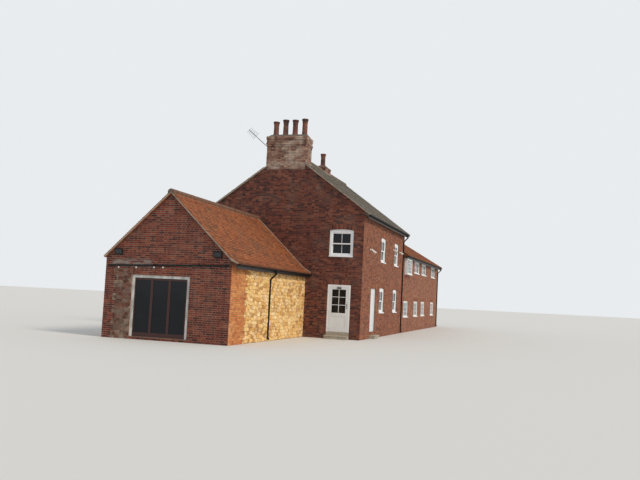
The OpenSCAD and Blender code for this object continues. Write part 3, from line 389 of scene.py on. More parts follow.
def clayFinish(name, look):
    tree = start(name)
    base = palette(tree, noise(tree, *clayMix), look["units"])
    base = coat(tree, base, look["units"][0], "clayGrain")
    base = coat(tree, base, "#332723", "claySoot", look["sooty"])
    if "mouths" in look:
        base = smoke(tree, base, *look["mouths"])
    done(tree, base, rough=0.82, relief="clay")


paintLooks = {   # colour and how dirty
    "whitePaint": ("#eff1f2", 0.13),
    # doorPaint is white made a little greyer and cooler, which is painted shade
    "doorPaint": ("#dfe2e5", 0.14),
    "blackPaint": ("#1d1b1a", 0.12),
}


def paintFinish(name, look):
    tree = start(name)
    code, dirt = look
    base = coat(tree, tint(code), "#8c8a82", "paintStreaks", dirt)
    base = coat(tree, base, "#a79f8e", "paintChips")
    done(tree, base, rough=0.42, relief="paint")


metalLooks = {   # colour, least and most roughness, and how metallic
    "blackIron": ("#26272a", (0.36, 0.585), 0.7),
    "aerialMetal": ("#303338", (0.4, 0.65), 0.3),
}


def metalFinish(name, look):
    tree = start(name)
    code, (smooth, dull), metal = look
    rough = put(tree, "ShaderNodeMapRange", {0: plain(tree, "metalCloud"), 3: smooth, 4: dull})
    done(tree, coat(tree, tint(code), "#4b4a48", "metalCloud"), rough, "metal", metal=metal)


plasticLooks = {   # colour and the colour of its dust
    "blackGutter": ("#101011", "#242120"),
    "lampHousing": ("#191a1c", "#37383a"),
    "whiteLamp": ("#efeeea", "#d2cfc5"),
}


def plasticFinish(name, look):
    tree = start(name)
    code, dust = look
    done(tree, coat(tree, tint(code), dust, "plasticDust"), rough=0.68, relief="plastic", level=0.2)


mixedLooks = {   # colours, the noise that mixes them, roughness, relief and the level of the sheen
    # darkGlass is near black: painted shade of the dim rooms behind the panes
    "darkGlass": (["#0b0d11", "#12151b", "#1a1d24"], (1.6, 3.0), 0.07, "glass", 0.28),
    "floorBoards": (["#6b4d30", "#8a6642", "#9d7850", "#7a5939"], (12.0, 5.0, (6.0, 0.6, 6.0)), 0.65,
                    "boards", 0.5),
    "bulbGlass": (["#e6e4da", "#f6f5ef"], (40.0, 3.0), 0.12, "bulb", 0.5),
    # the globes in shade: a darker copy of their glass, with painted shade
    "clearBulbGlass": (["#54463f", "#75645b"], (40.0, 3.0), 0.12, "bulb", 0.5),
}


def mixedFinish(name, look):
    tree = start(name)
    codes, mix, rough, relief, level = look
    done(tree, palette(tree, noise(tree, *mix), codes), rough, relief, level=level)


lensLooks = {"lampFace": {"glass": ["#171a1d", "#43484c"], "ribs": 14.0}}


def lensFinish(name, look):
    tree = start(name)
    ribs = put(tree, "ShaderNodeTexWave", {"Vector": where(tree), "Scale": look["ribs"]})
    done(tree, palette(tree, ribs, look["glass"]), rough=0.22, relief="lens", height=ribs, level=0.35)


stainedLooks = {
    "shedDoorPaint": {"node": "outbuilding_doors", "face": 0.0958,   # width of the frame's own face
                      "leaves": ["#2a1513", "#3a1d19", "#472420"],
                      "frame": ["#dcdad4", "#a3a09a", "#6f6c66"]},
}


def stainedFinish(name, look):  # a weathered frame, and stained leaves inside it
    tree = start(name)
    low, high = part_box(look["node"])
    x, y, z = axes(tree)[:3]
    inside = maths(tree, "MULTIPLY", maths(tree, "GREATER_THAN", x, low.x + look["face"]),
                   maths(tree, "LESS_THAN", x, high.x - look["face"]))
    inside = maths(tree, "MULTIPLY", inside, maths(tree, "LESS_THAN", z, high.z - look["face"]))
    light, worn, grey = look["frame"]
    outer = coat(tree, coat(tree, tint(light), worn, "doorWear"), grey, "doorGrain")
    leaves = palette(tree, plain(tree, "doorGrain"), look["leaves"])
    done(tree, blend(tree, inside, outer, leaves), rough=0.55, relief="door")


def makeFinishes():
    for make, looks in ((brickFinish, brickLooks), (mortarFinish, mortarLooks), (tileFinish, tileLooks),
                        (stoneFinish, stoneLooks), (clayFinish, clayLooks), (paintFinish, paintLooks),
                        (metalFinish, metalLooks), (plasticFinish, plasticLooks), (mixedFinish, mixedLooks),
                        (lensFinish, lensLooks), (stainedFinish, stainedLooks)):
        for name, look in looks.items():
            make(name, look)


nodeFinishes = {
    "houseMortar": ["gable_wall_left", "gable_wall_right", "gable_wall_upper", "house_front_wall",
                    "house_back_wall", "house_far_wall", "gable_chimney", "ridge_chimney"],
    "gableMortar": ["outbuilding_gable", "wing_front_wall", "wing_back_wall", "wing_far_gable"],
    "paleMortar": ["outbuilding_front_wall", "outbuilding_back_wall"],
    "greyRoof": ["house_roof_front", "house_roof_back"],
    "wingRoof": ["wing_roof_front", "wing_roof_back"],
    "outbuildingRoof": ["outbuilding_roof_front", "outbuilding_roof_back"],
    "potClay": ["chimney_pots"],
    "whitePaint": ["gable_door_frame", "house_windows", "wing_windows"],
    "shedDoorPaint": ["outbuilding_doors"],
    "doorPaint": ["gable_door", "front_door"],
    "darkGlass": ["gable_door_glass", "window_glass"],
    "blackIron": ["gable_door_handle"],
    "stepStone": ["gable_door_step"],
    "floorScreed": ["house_ground_floor", "wing_ground_floor", "outbuilding_floor"],
    "floorBoards": ["house_first_floor", "wing_first_floor"],
    "ridgeClay": ["wing_ridge_tiles", "outbuilding_ridge_tiles"],
    "greyRidgeClay": ["house_ridge_tiles"],
    "blackPaint": ["fascias"],
    "blackGutter": ["gutters", "downpipes"],
    "lampHousing": ["gable_lamps"],
    "whiteLamp": ["front_lamps"],
    "aerialMetal": ["tv_aerial"],
}

placeCamera()
buildStage()
print("camera and stage placed")
makeFinishes()
for finish, names in nodeFinishes.items():
    for name in names:
        cadNodes[name].data.materials.clear()
        cadNodes[name].data.materials.append(finishes[finish])
print("finishes made:", len(finishes))


# Flat faces of the walls and roofs, read from the frame

sameWay = 0.98             # cosine within which a face looks a way
roofPitches = (30, 36, 43.5)
leastDepth = 0.5           # a tile plane lies further than this from the origin
touch = 0.001              # metres within which two ends are one
sliver = 0.0001
close = 0.01               # metres within which two places are one
coursing = {
    "edge": 0.0005,        # how far inside a course its stretches are measured
    "part": 0.012,         # least height of a course, and of a part of one
    "strip": 0.015,
    "rake": (0.02, 0.2),   # how far a foot may reach further than its top under a slope
}


def planes(nodes, facing):  # the planes of CAD nodes that look one way, with triangles in plane coordinates
    found = {}
    for node in nodes:
        mesh = cadNodes[node].data
        for polygon in mesh.polygons:
            normal = polygon.normal
            if normal.dot(Vector(facing).normalized()) < sameWay:
                continue
            corners = [mesh.vertices[i].co for i in polygon.vertices]
            depth = round(normal.dot(corners[0]), 3)
            found.setdefault(depth, []).append((polygon.area, normal.copy(), corners))
    faces = []
    for triangles in found.values():
        normal = max(triangles, key=lambda item: item[0])[1]
        rise = (Vector((0, 0, 1)) - normal * normal.z).normalized()
        along = rise.cross(normal)
        flat = [[(p.dot(along), p.dot(rise)) for p in corners] for _, _, corners in triangles]
        faces.append({"along": along, "rise": rise, "normal": normal, "flat": flat,
                      "depth": normal.dot(triangles[0][2][0])})
    return faces


def outermost(nodes, facing):
    return max(planes(nodes, facing), key=lambda face: face["depth"])


def extent(face):  # left, right, foot and top of a plane
    sides, levels = zip(*(point for corners in face["flat"] for point in corners))
    return min(sides), max(sides), min(levels), max(levels)


def slopes(roof):  # the tile planes of one roof slope
    side = 1 if "front" in roof else -1
    found = []
    for pitch in roofPitches:
        lean = Vector((side * math.sin(math.radians(pitch)), 0, math.cos(math.radians(pitch))))
        found += [face for face in planes([roof], lean)
                  if face["depth"] > leastDepth and abs(face["normal"].dot(lean) - 1) < 2 * touch]
    return found


def bothSlopes(block):
    return [slopes(block + "_roof_" + side) for side in ("front", "back")]


def roofTop(faces, x):
    return max((face["depth"] - face["normal"].x * x) / face["normal"].z for face in faces)


def spot(face, s, t, lift=0.0):  # a point of a plane in the row frame
    return face["along"] * s + face["rise"] * t + face["normal"] * (face["depth"] + lift)


def joined(spans):
    merged = []
    for low, high in sorted(spans):
        if merged and low <= merged[-1][1] + touch:
            merged[-1][1] = max(merged[-1][1], high)
        else:
            merged.append([low, high])
    return merged


def spansAt(face, t):  # the stretches of a plane that a level line crosses
    spans = []
    for corners in face["flat"]:
        cuts = []
        for (s0, t0), (s1, t1) in zip(corners, corners[1:] + corners[:1]):
            if (t0 - t) * (t1 - t) < 0:
                cuts.append(s0 + (s1 - s0) * (t - t0) / (t1 - t0))
        if len(cuts) == 2:
            spans.append((min(cuts), max(cuts)))
    return joined(spans)


def common(a, b):
    both = [[max(p[0], q[0]), min(p[1], q[1])] for p in a for q in b]
    return [span for span in both if span[1] - span[0] > sliver]


def minus(spans, low, high):
    kept = []
    for a, b in spans:
        if high <= a or low >= b:
            kept.append([a, b])
        else:
            kept += [[p, q] for p, q in ((a, low), (high, b)) if q - p > sliver]
    return kept


def raked(face, foot, low, high):  # a stretch of a course, and how far its foot reaches under a slope
    least, most = coursing["rake"]
    for a, b in spansAt(face, foot + coursing["edge"]):
        if a <= low + touch and b >= high - touch:
            return low, high, a if least < low - a < most else low, b if least < b - high < most else high
    return low, high, low, high


def rows(face, height, datum, holes=()):  # courses as (index, foot, top, stretches), cut at heads and sills
    edge, part = coursing["edge"], coursing["part"]
    levels = sorted({round(t, 4) for corners in face["flat"] for _, t in corners}
                    | {round(t, 4) for hole in holes for t in hole[2:]})
    index = math.floor((levels[0] - datum) / height + touch)
    while datum + index * height < levels[-1] - edge:
        foot = max(datum + index * height, levels[0])
        top = min(datum + (index + 1) * height, levels[-1])
        cuts = [foot] + [t for t in levels if foot + part < t < top - part] + [top]
        covers = []
        for low, high in zip(cuts, cuts[1:]):
            spans = common(spansAt(face, low + edge), spansAt(face, high - edge))
            for a, b, c, d in holes:
                if c < (low + high) / 2 < d:
                    spans = minus(spans, a, b)
            covers.append(spans)
        whole = covers[0]
        for spans in covers[1:]:
            whole = common(whole, spans)
        full = [raked(face, foot, a, b) for a, b in whole]
        if top - foot > part:
            yield index, foot, top, full
        if len(cuts) > 2:
            for low, high, spans in zip(cuts, cuts[1:], covers):
                for _, _, a, b in full:
                    spans = minus(spans, a, b)
                if high - low > coursing["strip"]:
                    yield index, low, high, [(a, b, a, b) for a, b in spans]
        index += 1


def cells(low, high, anchor, lengths, least):  # units of a bond between two ends, without slivers
    period = sum(lengths)
    joints, at = [low], anchor + period * math.floor((low - anchor) / period)
    step = 0
    while at < high:
        if low + least < at < high - least:
            joints.append(at)
        at += lengths[step % len(lengths)]
        step += 1
    return zip(joints, joints[1:] + [high])


# Repeated units: one tree stands a unit on every point, turned and sized by the point's own values

def newTree(name, inputs):
    tree = bpy.data.node_groups.new(name, "GeometryNodeTree")
    for label, kind in inputs.items():
        tree.interface.new_socket(name=label, in_out="INPUT", socket_type="NodeSocket" + kind)
    tree.interface.new_socket(name="Pieces", in_out="OUTPUT", socket_type="NodeSocketGeometry")
    return tree, add(tree, "NodeGroupInput").outputs


def endTree(tree, geometry, finish):
    real = put(tree, "GeometryNodeRealizeInstances", {"Geometry": geometry})
    finished = put(tree, "GeometryNodeSetMaterial", {"Geometry": real, "Material": finish})
    add(tree, "NodeGroupOutput", {0: finished})
    return tree


toneSeed = 17.0   # how much further than a piece's own seed that of its tones is


def unitTree():
    tree, given = newTree("layUnits", {"Points": "Geometry", "Unit": "Object", "Push": "Float",
                                       "Sway": "Float", "Seed": "Int", "Finish": "Material"})
    turn, size = (put(tree, "GeometryNodeInputNamedAttribute", {"Name": key}, data_type="FLOAT_VECTOR")
                  for key in ("turn", "size"))
    unit = add(tree, "GeometryNodeObjectInfo", {"Object": given["Unit"]}).outputs["Geometry"]
    laid = put(tree, "GeometryNodeInstanceOnPoints",
               {"Points": given["Points"], "Instance": unit, "Scale": size,
                "Rotation": put(tree, "FunctionNodeEulerToRotation", {0: turn})})
    lift = add(tree, "FunctionNodeRandomValue", {2: 0.0, 3: given["Push"], "Seed": given["Seed"]},
               data_type="FLOAT").outputs[1]
    laid = put(tree, "GeometryNodeTranslateInstances",
               {"Instances": laid, "Translation": put(tree, "ShaderNodeCombineXYZ", {2: lift}),
                "Local Space": True})
    least = maths(tree, "MULTIPLY", given["Sway"], -1.0)
    lean = put(tree, "FunctionNodeRandomValue", {0: least, 1: given["Sway"], "Seed": given["Seed"]},
               data_type="FLOAT_VECTOR")
    laid = put(tree, "GeometryNodeRotateInstances",
               {"Instances": laid, "Rotation": lean, "Local Space": True})
    fresh = maths(tree, "ADD", given["Seed"], toneSeed)
    tone = add(tree, "FunctionNodeRandomValue", {2: 0.0, 3: 1.0, "Seed": fresh}, data_type="FLOAT").outputs[1]
    laid = put(tree, "GeometryNodeStoreNamedAttribute", {"Geometry": laid, "Name": "tone", "Value": tone},
               data_type="FLOAT", domain="INSTANCE")
    return endTree(tree, laid, given["Finish"])


layUnits = unitTree()
units = {}


def grow(piece, tree, settings):  # runs a tree on a piece and keeps the plain mesh that comes of it
    modifier = piece.modifiers.new(tree.name, "NODES")
    modifier.node_group = tree
    for item in tree.interface.items_tree:
        if item.name in settings:
            modifier[item.identifier] = settings[item.name]
    view = bpy.context.evaluated_depsgraph_get()
    piece.data = bpy.data.meshes.new_from_object(piece.evaluated_get(view))
    piece.modifiers.clear()


def loft(points, faces, rings):  # a closed skin over rings of points, each turning left as seen from the next
    at = first = len(points)
    for low, high in zip(rings, rings[1:]):
        points += low
        up, n = at + len(low), max(len(low), len(high))
        for i, k in zip(range(n), [*range(1, n), 0]):
            if len(low) == 1:   # a tip
                faces.append((at, up + k, up + i))
            elif len(high) == 1:
                faces.append((at + i, at + k, up))
            else:
                faces.append((at + i, at + k, up + k, up + i))
        at = up
    points += rings[-1]
    if len(rings[0]) > 1:
        faces.append(tuple(first + i for i in reversed(range(len(rings[0])))))
    if len(rings[-1]) > 1:
        faces.append(tuple(at + i for i in range(len(rings[-1]))))


def unitShape(name, rings):
    points, faces = [], []
    loft(points, faces, rings)
    units[name] = shape(name, points, faces)


def blockUnit(name, inset):  # a block one unit long, high and deep, whose face is slightly smaller
    a, b = 0.5 - inset[0], inset[1]
    unitShape(name, [[(-0.5, 0, 0), (0.5, 0, 0), (0.5, 1, 0), (-0.5, 1, 0)],
                     [(-a, b, 1), (a, b, 1), (a, 1 - b, 1), (-a, 1 - b, 1)]])


def tileUnit(name, tail, head, camber):  # a cambered tile from its thick tail at y = 0 to its head at y = 1
    unitShape(name, [[(-0.5, y, 0), (0.5, y, 0), (0.5, y, thick), (0.0, y, thick + camber), (-0.5, y, thick)]
                     for y, thick in ((1.0, head), (0.0, tail))])


def archUnit(name, outer, inner, droop, steps=12):  # part of a round shell along x, open at its foot
    angles = [math.radians(-droop + (180 + 2 * droop) * i / steps) for i in range(steps + 1)]
    unitShape(name, [[(x, radius * math.cos(a), radius * math.sin(a)) for x, radius in
                      ((0.5, outer), (-0.5, outer), (-0.5, inner), (0.5, inner))] for a in angles])


def roundUnit(name, profile, sides):  # a turned shape round z, from (radius, height) pairs going up
    angles = [2 * math.pi * i / sides for i in range(sides)]
    rings = [[(radius * math.cos(a), radius * math.sin(a), height) for a in angles]
             for radius, height in profile]
    unitShape(name, [[(0, 0, profile[0][1])]] + rings + [[(0, 0, profile[-1][1])]])


unitSizes = {
    "brick": (0.012, 0.035),         # how much smaller the face is at its ends and edges, as shares
    "bar": (0.0, 0.12),
    "flatLens": (0.03, 0.05),
    "tile": (0.026, 0.008, 0.005),   # thickness at the tail and at the head, and camber
}
for name in ("brick", "bar", "flatLens"):
    blockUnit(name, unitSizes[name])
tileUnit("tile", *unitSizes["tile"])


def lay(name, unit, places, finish, slot, body="root", push=0.0, sway=0.0, seed=1, extra=None):
    piece = shape(name, [place[0] for place in places])
    for index, key in ((1, "turn"), (2, "size")):
        values = piece.data.attributes.new(key, "FLOAT_VECTOR", "POINT")
        values.data.foreach_set("vector", [number for place in places for number in place[index]])
    grow(piece, layUnits, {"Unit": units[unit], "Push": push, "Sway": sway, "Seed": seed,
                           "Finish": finishes[finish]})
    for key in ("turn", "size"):
        if key in piece.data.attributes:
            piece.data.attributes.remove(piece.data.attributes[key])
    if extra:
        with bpy.context.temp_override(active_object=piece, selected_editable_objects=[piece, extra]):
            bpy.ops.object.join()
    return settle(piece, slot, body)


def settle(piece, slot, body="root"):
    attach(piece, body)
    print("made", piece.name, len(piece.data.polygons), "faces")
    return piece


def newPiece(name, points, faces, finish, tones=None):
    piece = shape(name, points, faces)
    piece.data.materials.append(finishes[finish])
    if tones:
        piece.data.attributes.new("tone", "FLOAT", "POINT").data.foreach_set("value", tones)
    return piece


def turnFrom(x, y, z, roll=0.0):
    return tuple((Matrix((x, y, z)).transposed() @ Matrix.Rotation(roll, 3, "Z")).to_euler())


def turnOf(face, roll=0.0):
    return turnFrom(face["along"], face["rise"], face["normal"], roll)


def islands(node):  # the loose parts of a CAD node, each as a list of its corners
    mesh = cadNodes[node].data
    keys = [tuple(round(c, 4) for c in vertex.co) for vertex in mesh.vertices]
    root = {key: key for key in keys}

    def find(key):
        while root[key] != key:
            root[key] = root[root[key]]
            key = root[key]
        return key

    for polygon in mesh.polygons:
        first = find(keys[polygon.vertices[0]])
        for index in polygon.vertices[1:]:
            root[find(keys[index])] = first
    parts = {}
    for key in root:
        parts.setdefault(find(key), []).append(key)
    return sorted(parts.values(), key=min)


def boxOf(corners):
    return (Vector([min(p[i] for p in corners) for i in range(3)]),
            Vector([max(p[i] for p in corners) for i in range(3)]))


def boxesOf(node):
    return [boxOf(corners) for corners in islands(node)]


def standing(face, facing, node):  # the loose parts of a node that face one way, as openings of a plane
    deep = 0 if facing[0] else 1
    found = []
    for corners in islands(node):
        low, high = boxOf(corners)
        size = high - low
        if size[deep] > size[1 - deep] or facing[deep] * (low[deep] + high[deep]) <= 0:
            continue
        ends = [Vector(p).dot(face["along"]) for p in corners]
        left, right = min(ends), max(ends)
        spring = max(p[2] for p, s in zip(corners, ends) if s < left + 4 * touch)
        found.append({"left": left, "right": right, "spring": spring, "crown": high.z})
    return found


# Brickwork

bond = {
    "course": 0.075,
    "joint": 0.010,
    "flemish": (0.225, 0.1125),   # a stretcher and a header, each with its joint
    "least": 0.045,
    "ahead": 0.05,                # how far in front of a wall it is asked whether a brick shows
    "stand": 0.006,               # how far a brick stands out of its mortar
    "cutInset": 0.003,            # how much smaller the face of a cut brick is
    "push": 0.003,
    "sway": 0.006,
    "archHeight": 0.225,
    "archBearing": 0.1125,
    "flatShare": 0.6,             # how much of the bearing a flat arch's bricks cover
    "roundShare": 0.4,            # and a cambered arch's
    "leastRise": 0.005,
    "archJoint": 0.008,
    "archStand": 0.010,
    "archSplay": 1.7,             # distance from a flat arch down to where its joints would meet
}


def plates(name, outlines, finish, seed):  # flat cut bricks from outlines in the row frame
    draw = random.Random(seed)
    points, faces, tones = [], [], []
    for corners, normal in outlines:
        middle = sum(corners, Vector()) / len(corners)
        loft(points, faces, [corners, [p + (middle - p).normalized() * bond["cutInset"]
                                       + normal * bond["stand"] for p in corners]])
        tones += [draw.random()] * (2 * len(corners))
    return newPiece(name, points, faces, finish, tones)


def archHole(opening, top):  # where an arch takes the place of level courses
    if opening["spring"] + bond["archHeight"] > top:
        return None
    return (opening["left"] - bond["archBearing"], opening["right"] + bond["archBearing"],
            opening["spring"], opening["spring"] + bond["archHeight"])


def archPlaces(face, opening):  # the bricks of an arch, each turned to its own joint
    half = (opening["right"] - opening["left"]) / 2
    middle = (opening["right"] + opening["left"]) / 2
    rise = opening["crown"] - opening["spring"]
    flat = rise < bond["leastRise"]
    if flat:
        radius = bond["archSplay"]
        reach = math.atan2(half + bond["archBearing"] * bond["flatShare"], radius)
    else:
        radius = (half * half + rise * rise) / (2 * rise)
        reach = math.asin((half + bond["archBearing"] * bond["roundShare"]) / radius)
    count = 2 * round(reach * radius / bond["course"]) + 1
    places = []
    for i in range(count):
        lean = reach * (2 * (i + 0.5) / count - 1)
        if flat:
            s, t = radius * math.tan(lean), opening["spring"]
            height = bond["archHeight"] / math.cos(lean)
        else:
            s, t = radius * math.sin(lean), opening["crown"] - radius * (1 - math.cos(lean))
            height = bond["archHeight"]
        width = 2 * reach * radius / count - bond["archJoint"]
        places.append((spot(face, middle + s, t + bond["joint"] / 2), turnOf(face, -lean),
                       (width, height - bond["joint"], bond["archStand"])))
    return places


def layBricks(name, nodes, ways, finish, slot, seed, datum=0.0, windows=(), corners=(), keep=None, holes=()):
    places, cut = [], []
    gap, proud = bond["joint"] / 2, bond["stand"]
    own = corners == "own"   # else the jambs and inner faces of a wall stay bare
    for facing in ways:
        for face in planes(nodes, facing) if own else [outermost(nodes, facing)]:
            left, right, _, top = extent(face)
            arches = [opening for window in windows for opening in standing(face, facing, window)
                      if archHole(opening, top)]
            for opening in arches:
                if left < opening["left"] and opening["right"] < right:
                    places += archPlaces(face, opening)
            outer = [left, right] if own else [Vector((x, x, 0)).dot(face["along"]) for x in corners]
            turn = turnOf(face)
            cutOut = [archHole(opening, top) for opening in arches] + list(holes)
            for index, foot, head, spans in rows(face, bond["course"], datum, cutOut):
                shift = (index % 2) * sum(bond["flemish"]) / 2
                for low, high, footLow, footHigh in spans:
                    for a, b in cells(low, high, left - shift, bond["flemish"], bond["least"]):
                        if keep and not keep(spot(face, (a + b) / 2, (foot + head) / 2, bond["ahead"])):
                            continue
                        lowEnd = footLow if a == low else a
                        highEnd = footHigh if b == high else b
                        if lowEnd < a or highEnd > b:
                            outline = ((lowEnd + gap, foot + gap), (highEnd - gap, foot + gap),
                                       (b - gap, head - gap), (a + gap, head - gap))
                            cut.append(([spot(face, s, t) for s, t in outline], face["normal"]))
                            continue
                        begin = a - proud if any(abs(a - s) < touch for s in outer) else a + gap
                        end = b + proud if any(abs(b - s) < touch for s in outer) else b - gap
                        places.append((spot(face, (begin + end) / 2, foot + gap), turn,
                                       (end - begin, head - foot - 2 * gap, proud)))
    extra = plates(name + "Cut", cut, finish, seed) if cut else None
    lay(name, "brick", places, finish, slot, push=bond["push"], sway=bond["sway"], seed=seed, extra=extra)


def outside(block, sides):  # a test that is false for what only that block's inside would show
    front, back = bothSlopes(block)
    return lambda point: not sides[0] < point.x < sides[1] or \
        point.z > min(roofTop(front, point.x), roofTop(back, point.x))


south, north, east, west = (0, -1, 0), (0, 1, 0), (1, 0, 0), (-1, 0, 0)
houseSides = (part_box("house_back_wall")[0].x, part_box("house_front_wall")[1].x)
shedSides = (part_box("outbuilding_back_wall")[0].x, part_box("outbuilding_front_wall")[1].x)
houseDatum = 0.05   # so that the courses meet the chimneys' corbels

rubble = {
    "quoin": 1.30,            # length of the brick quoin at the near corner
    "tooth": 0.17,            # how much further every second block of it reaches
    "toothCourses": 3,
    "stoneWidth": 0.25,
    "stoneHeight": 0.135,
    "drift": (0.36, 0.34),    # how far a stone may lie off its row, as a share of its size
    "least": 0.004,           # square metres
    "joint": 0.0096,
    "far": 4,                 # stones this many places apart don't touch
    "fillings": 1000,         # how many ways there are to fill a region
    "stoneSeed": 50,          # how much further than a wall's seed that of its stones is
    "short": 0.03,            # corners nearer to the middle than this move in no more than one there
    "rings": ((1.0, 0.0), (0.985, 0.55), (0.88, 0.92)),   # size and lift of a stone's rings, as shares
    "stand": (0.012, 0.026),
    "patchTop": 2.475,        # level up to which the near gable has stone beside its opening
    "patchQuoin": 0.34,
    "patchTooth": 0.1125,
    "patchEnd": 0.005,
}


def halfPlane(outline, point, away):  # keeps the part of an outline on the near side of a line
    kept = []
    for (p, q) in zip(outline, outline[1:] + outline[:1]):
        dp, dq = (p - point).dot(away), (q - point).dot(away)
        if dp <= 0:
            kept.append(p)
        if dp * dq < 0:
            kept.append(p + (q - p) * (dp / (dp - dq)))
    return kept


def stones(region, seed):  # irregular stones that fill a level region, as outlines
    left, right, foot, top = region
    draw = random.Random(seed)
    wide, high = rubble["stoneWidth"], rubble["stoneHeight"]
    across, up = max(1, round((right - left) / wide)), max(1, round((top - foot) / high))
    aside, above = rubble["drift"]
    middles = {}
    for j in range(-1, up + 1):
        for i in range(-1, across + 1):
            s = left + (i + 0.5 + (j % 2) * 0.5 + draw.uniform(-aside, aside)) * (right - left) / across
            t = foot + (j + 0.5 + draw.uniform(-above, above)) * (top - foot) / up
            middles[i, j] = Vector((s / wide, t / high))
    found = []
    for (i, j), middle in middles.items():
        outline = [Vector((s / wide, t / high))
                   for s, t in ((left, foot), (right, foot), (right, top), (left, top))]
        for (k, m), other in middles.items():
            if (k, m) != (i, j) and max(abs(k - i), abs(m - j)) < rubble["far"]:
                outline = halfPlane(outline, (middle + other) / 2, (other - middle).normalized())
        outline = [Vector((p.x * wide, p.y * high)) for p in outline]
        if len(outline) < 3:
            continue
        centre = sum(outline, Vector((0, 0))) / len(outline)
        area = sum(p.cross(q) for p, q in zip(outline, outline[1:] + outline[:1])) / 2
        if area > rubble["least"]:
            found.append([centre + p * (1 - rubble["joint"] / max(p.length, rubble["short"]))
                          for p in [p - centre for p in outline]])
    return found


def layStones(name, face, regions, finish, seed):  # rubble with rounded arrises
    draw = random.Random(seed)
    points, faces, tones = [], [], []
    for region in regions:
        for outline in stones(region, draw.randrange(rubble["fillings"])):
            proud = draw.uniform(*rubble["stand"])
            centre = sum(outline, Vector((0, 0))) / len(outline)
            rings = []
            for size, share in rubble["rings"]:
                ring = [centre + (p - centre) * size for p in outline]
                rings.append([spot(face, p.x, p.y, proud * share) for p in ring])
            loft(points, faces, rings + [[spot(face, centre.x, centre.y, proud)]])
            tones += [draw.random()] * (3 * len(outline) + 1)
    settle(newPiece(name, points, faces, finish, tones), "orange_brick")


def quoinSteps(far, top, way):  # where toothed blocks of brick end, with their foot and top
    block = rubble["toothCourses"] * bond["course"]
    steps, level = [], 0.0
    while level < top - close:
        steps.append((far + way * rubble["tooth"] * (len(steps) % 2), level, min(level + block, top)))
        level += block
    return steps


def stoneSide(name, nodes, facing, seed):  # a rubble wall with a toothed brick quoin at its near end
    face = outermost(nodes, facing)
    low, high, _, top = extent(face)
    corner, end, way = (low, high, 1) if face["along"].y > 0 else (high, low, -1)
    steps = quoinSteps(corner + way * rubble["quoin"], top, way)
    past = corner + way * (rubble["quoin"] + rubble["tooth"])
    layBricks(name + "Quoin", nodes, [facing], "quoinBrick", "orange_brick", seed,
              holes=[(min(far, end), max(far, end), a, b) for far, a, b in steps])
    regions = [(min(past, end), max(past, end), 0.0, top)]
    regions += [(min(far, past), max(far, past), a, b) for far, a, b in steps if abs(far - past) > close]
    layStones(name + "Stones", face, regions, "rubbleStone", seed + rubble["stoneSeed"])


def layWalls():
    gable = ("gable_wall_left", "gable_wall_right", "gable_wall_upper")
    ends = {"corners": houseSides}
    house = {"slot": "house_brick", "datum": houseDatum}
    wing = {"slot": "orange_brick"}
    layBricks("gableBricks", gable, [south], "houseBrick", seed=11, **house, **ends,
              windows=("house_windows", "gable_door_frame"), keep=outside("outbuilding", shedSides))
    layBricks("houseFrontBricks", ("house_front_wall", "house_far_wall") + gable, [east], "frontBrick",
              seed=12, **house, windows=("house_windows", "front_door"))
    layBricks("houseBackBricks", ("house_back_wall", "house_far_wall") + gable, [west], "houseBrick",
              seed=13, **house, windows=("house_windows",))
    layBricks("houseFarBricks", ("house_far_wall",), [north], "houseBrick", seed=14, **house, **ends,
              keep=outside("wing", houseSides))
    layBricks("wingFrontBricks", ("wing_front_wall", "wing_far_gable"), [east], "frontBrick", seed=15,
              **wing, windows=("wing_windows",))
    layBricks("wingBackBricks", ("wing_back_wall", "wing_far_gable"), [west], "houseBrick", seed=16,
              **wing, windows=("wing_windows",))
    layBricks("wingFarBricks", ("wing_far_gable",), [north], "houseBrick", seed=17, **wing, **ends)
    left, tooth = shedSides[0] + rubble["patchQuoin"], rubble["patchTooth"]
    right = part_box("outbuilding_doors")[0].x - rubble["patchEnd"]
    patch = [(left + tooth, right, 0.0, rubble["patchTop"])]
    patch += [(left, left + tooth, a, b) for _, a, b in quoinSteps(0.0, rubble["patchTop"], 1)[::2]]
    layBricks("outbuildingGableBricks", ("outbuilding_gable",), [south], "gableBrick", seed=18, **wing,
              corners=shedSides, holes=patch)
    layStones("outbuildingGableStones", planes(["outbuilding_gable"], south)[0], patch, "fieldStone", 21)
    stoneSide("outbuildingFront", ("outbuilding_front_wall", "outbuilding_gable"), east, 22)
    stoneSide("outbuildingBack", ("outbuilding_back_wall", "outbuilding_gable"), west, 23)
    for name, node, hidden, seed in (("gableChimneyBricks", "gable_chimney", 7.0, 19),   # up to that level
                                     ("ridgeChimneyBricks", "ridge_chimney", 8.0, 20)):
        layBricks(name, (node,), (south, north, east, west), "chimneyBrick", "chimney_brick", seed,
                  datum=houseDatum, corners="own", keep=lambda point: point.z > hidden)


layWalls()


# Roof tiles, ridges and verges

blocks = {
    "house": {"tile": "greyTile", "slot": "grey_tile", "ridge": "greyRidgeClay", "verges": ("near", "far")},
    "wing": {"tile": "orangeTile", "slot": "orange_tile", "ridge": "ridgeClay", "verges": ("far",)},
    "outbuilding": {"tile": "orangeTile", "slot": "orange_tile", "ridge": "ridgeClay", "verges": ("near",)},
}

tiling = {
    "gauge": 0.100,
    "lap": 0.014,
    "width": 0.165,
    "least": 0.05,
    "gap": 0.002,
    "push": 0.004,
    "sway": 0.012,
    "past": 0.006,            # how far the end tiles pass the roof's own edge
}

ridging = {
    "pitch": 0.320,           # length of one ridge tile with its joint
    "joint": 0.016,
    "drop": 0.3,              # the tiles' middle lies this share of their radius under the ridge
    "thick": 0.018,
    "core": 0.010,            # how far the mortar core lies inside the tiles' faces
    "coreInner": 0.02,
    "coreShort": 0.012,
    "sway": 0.012,
}


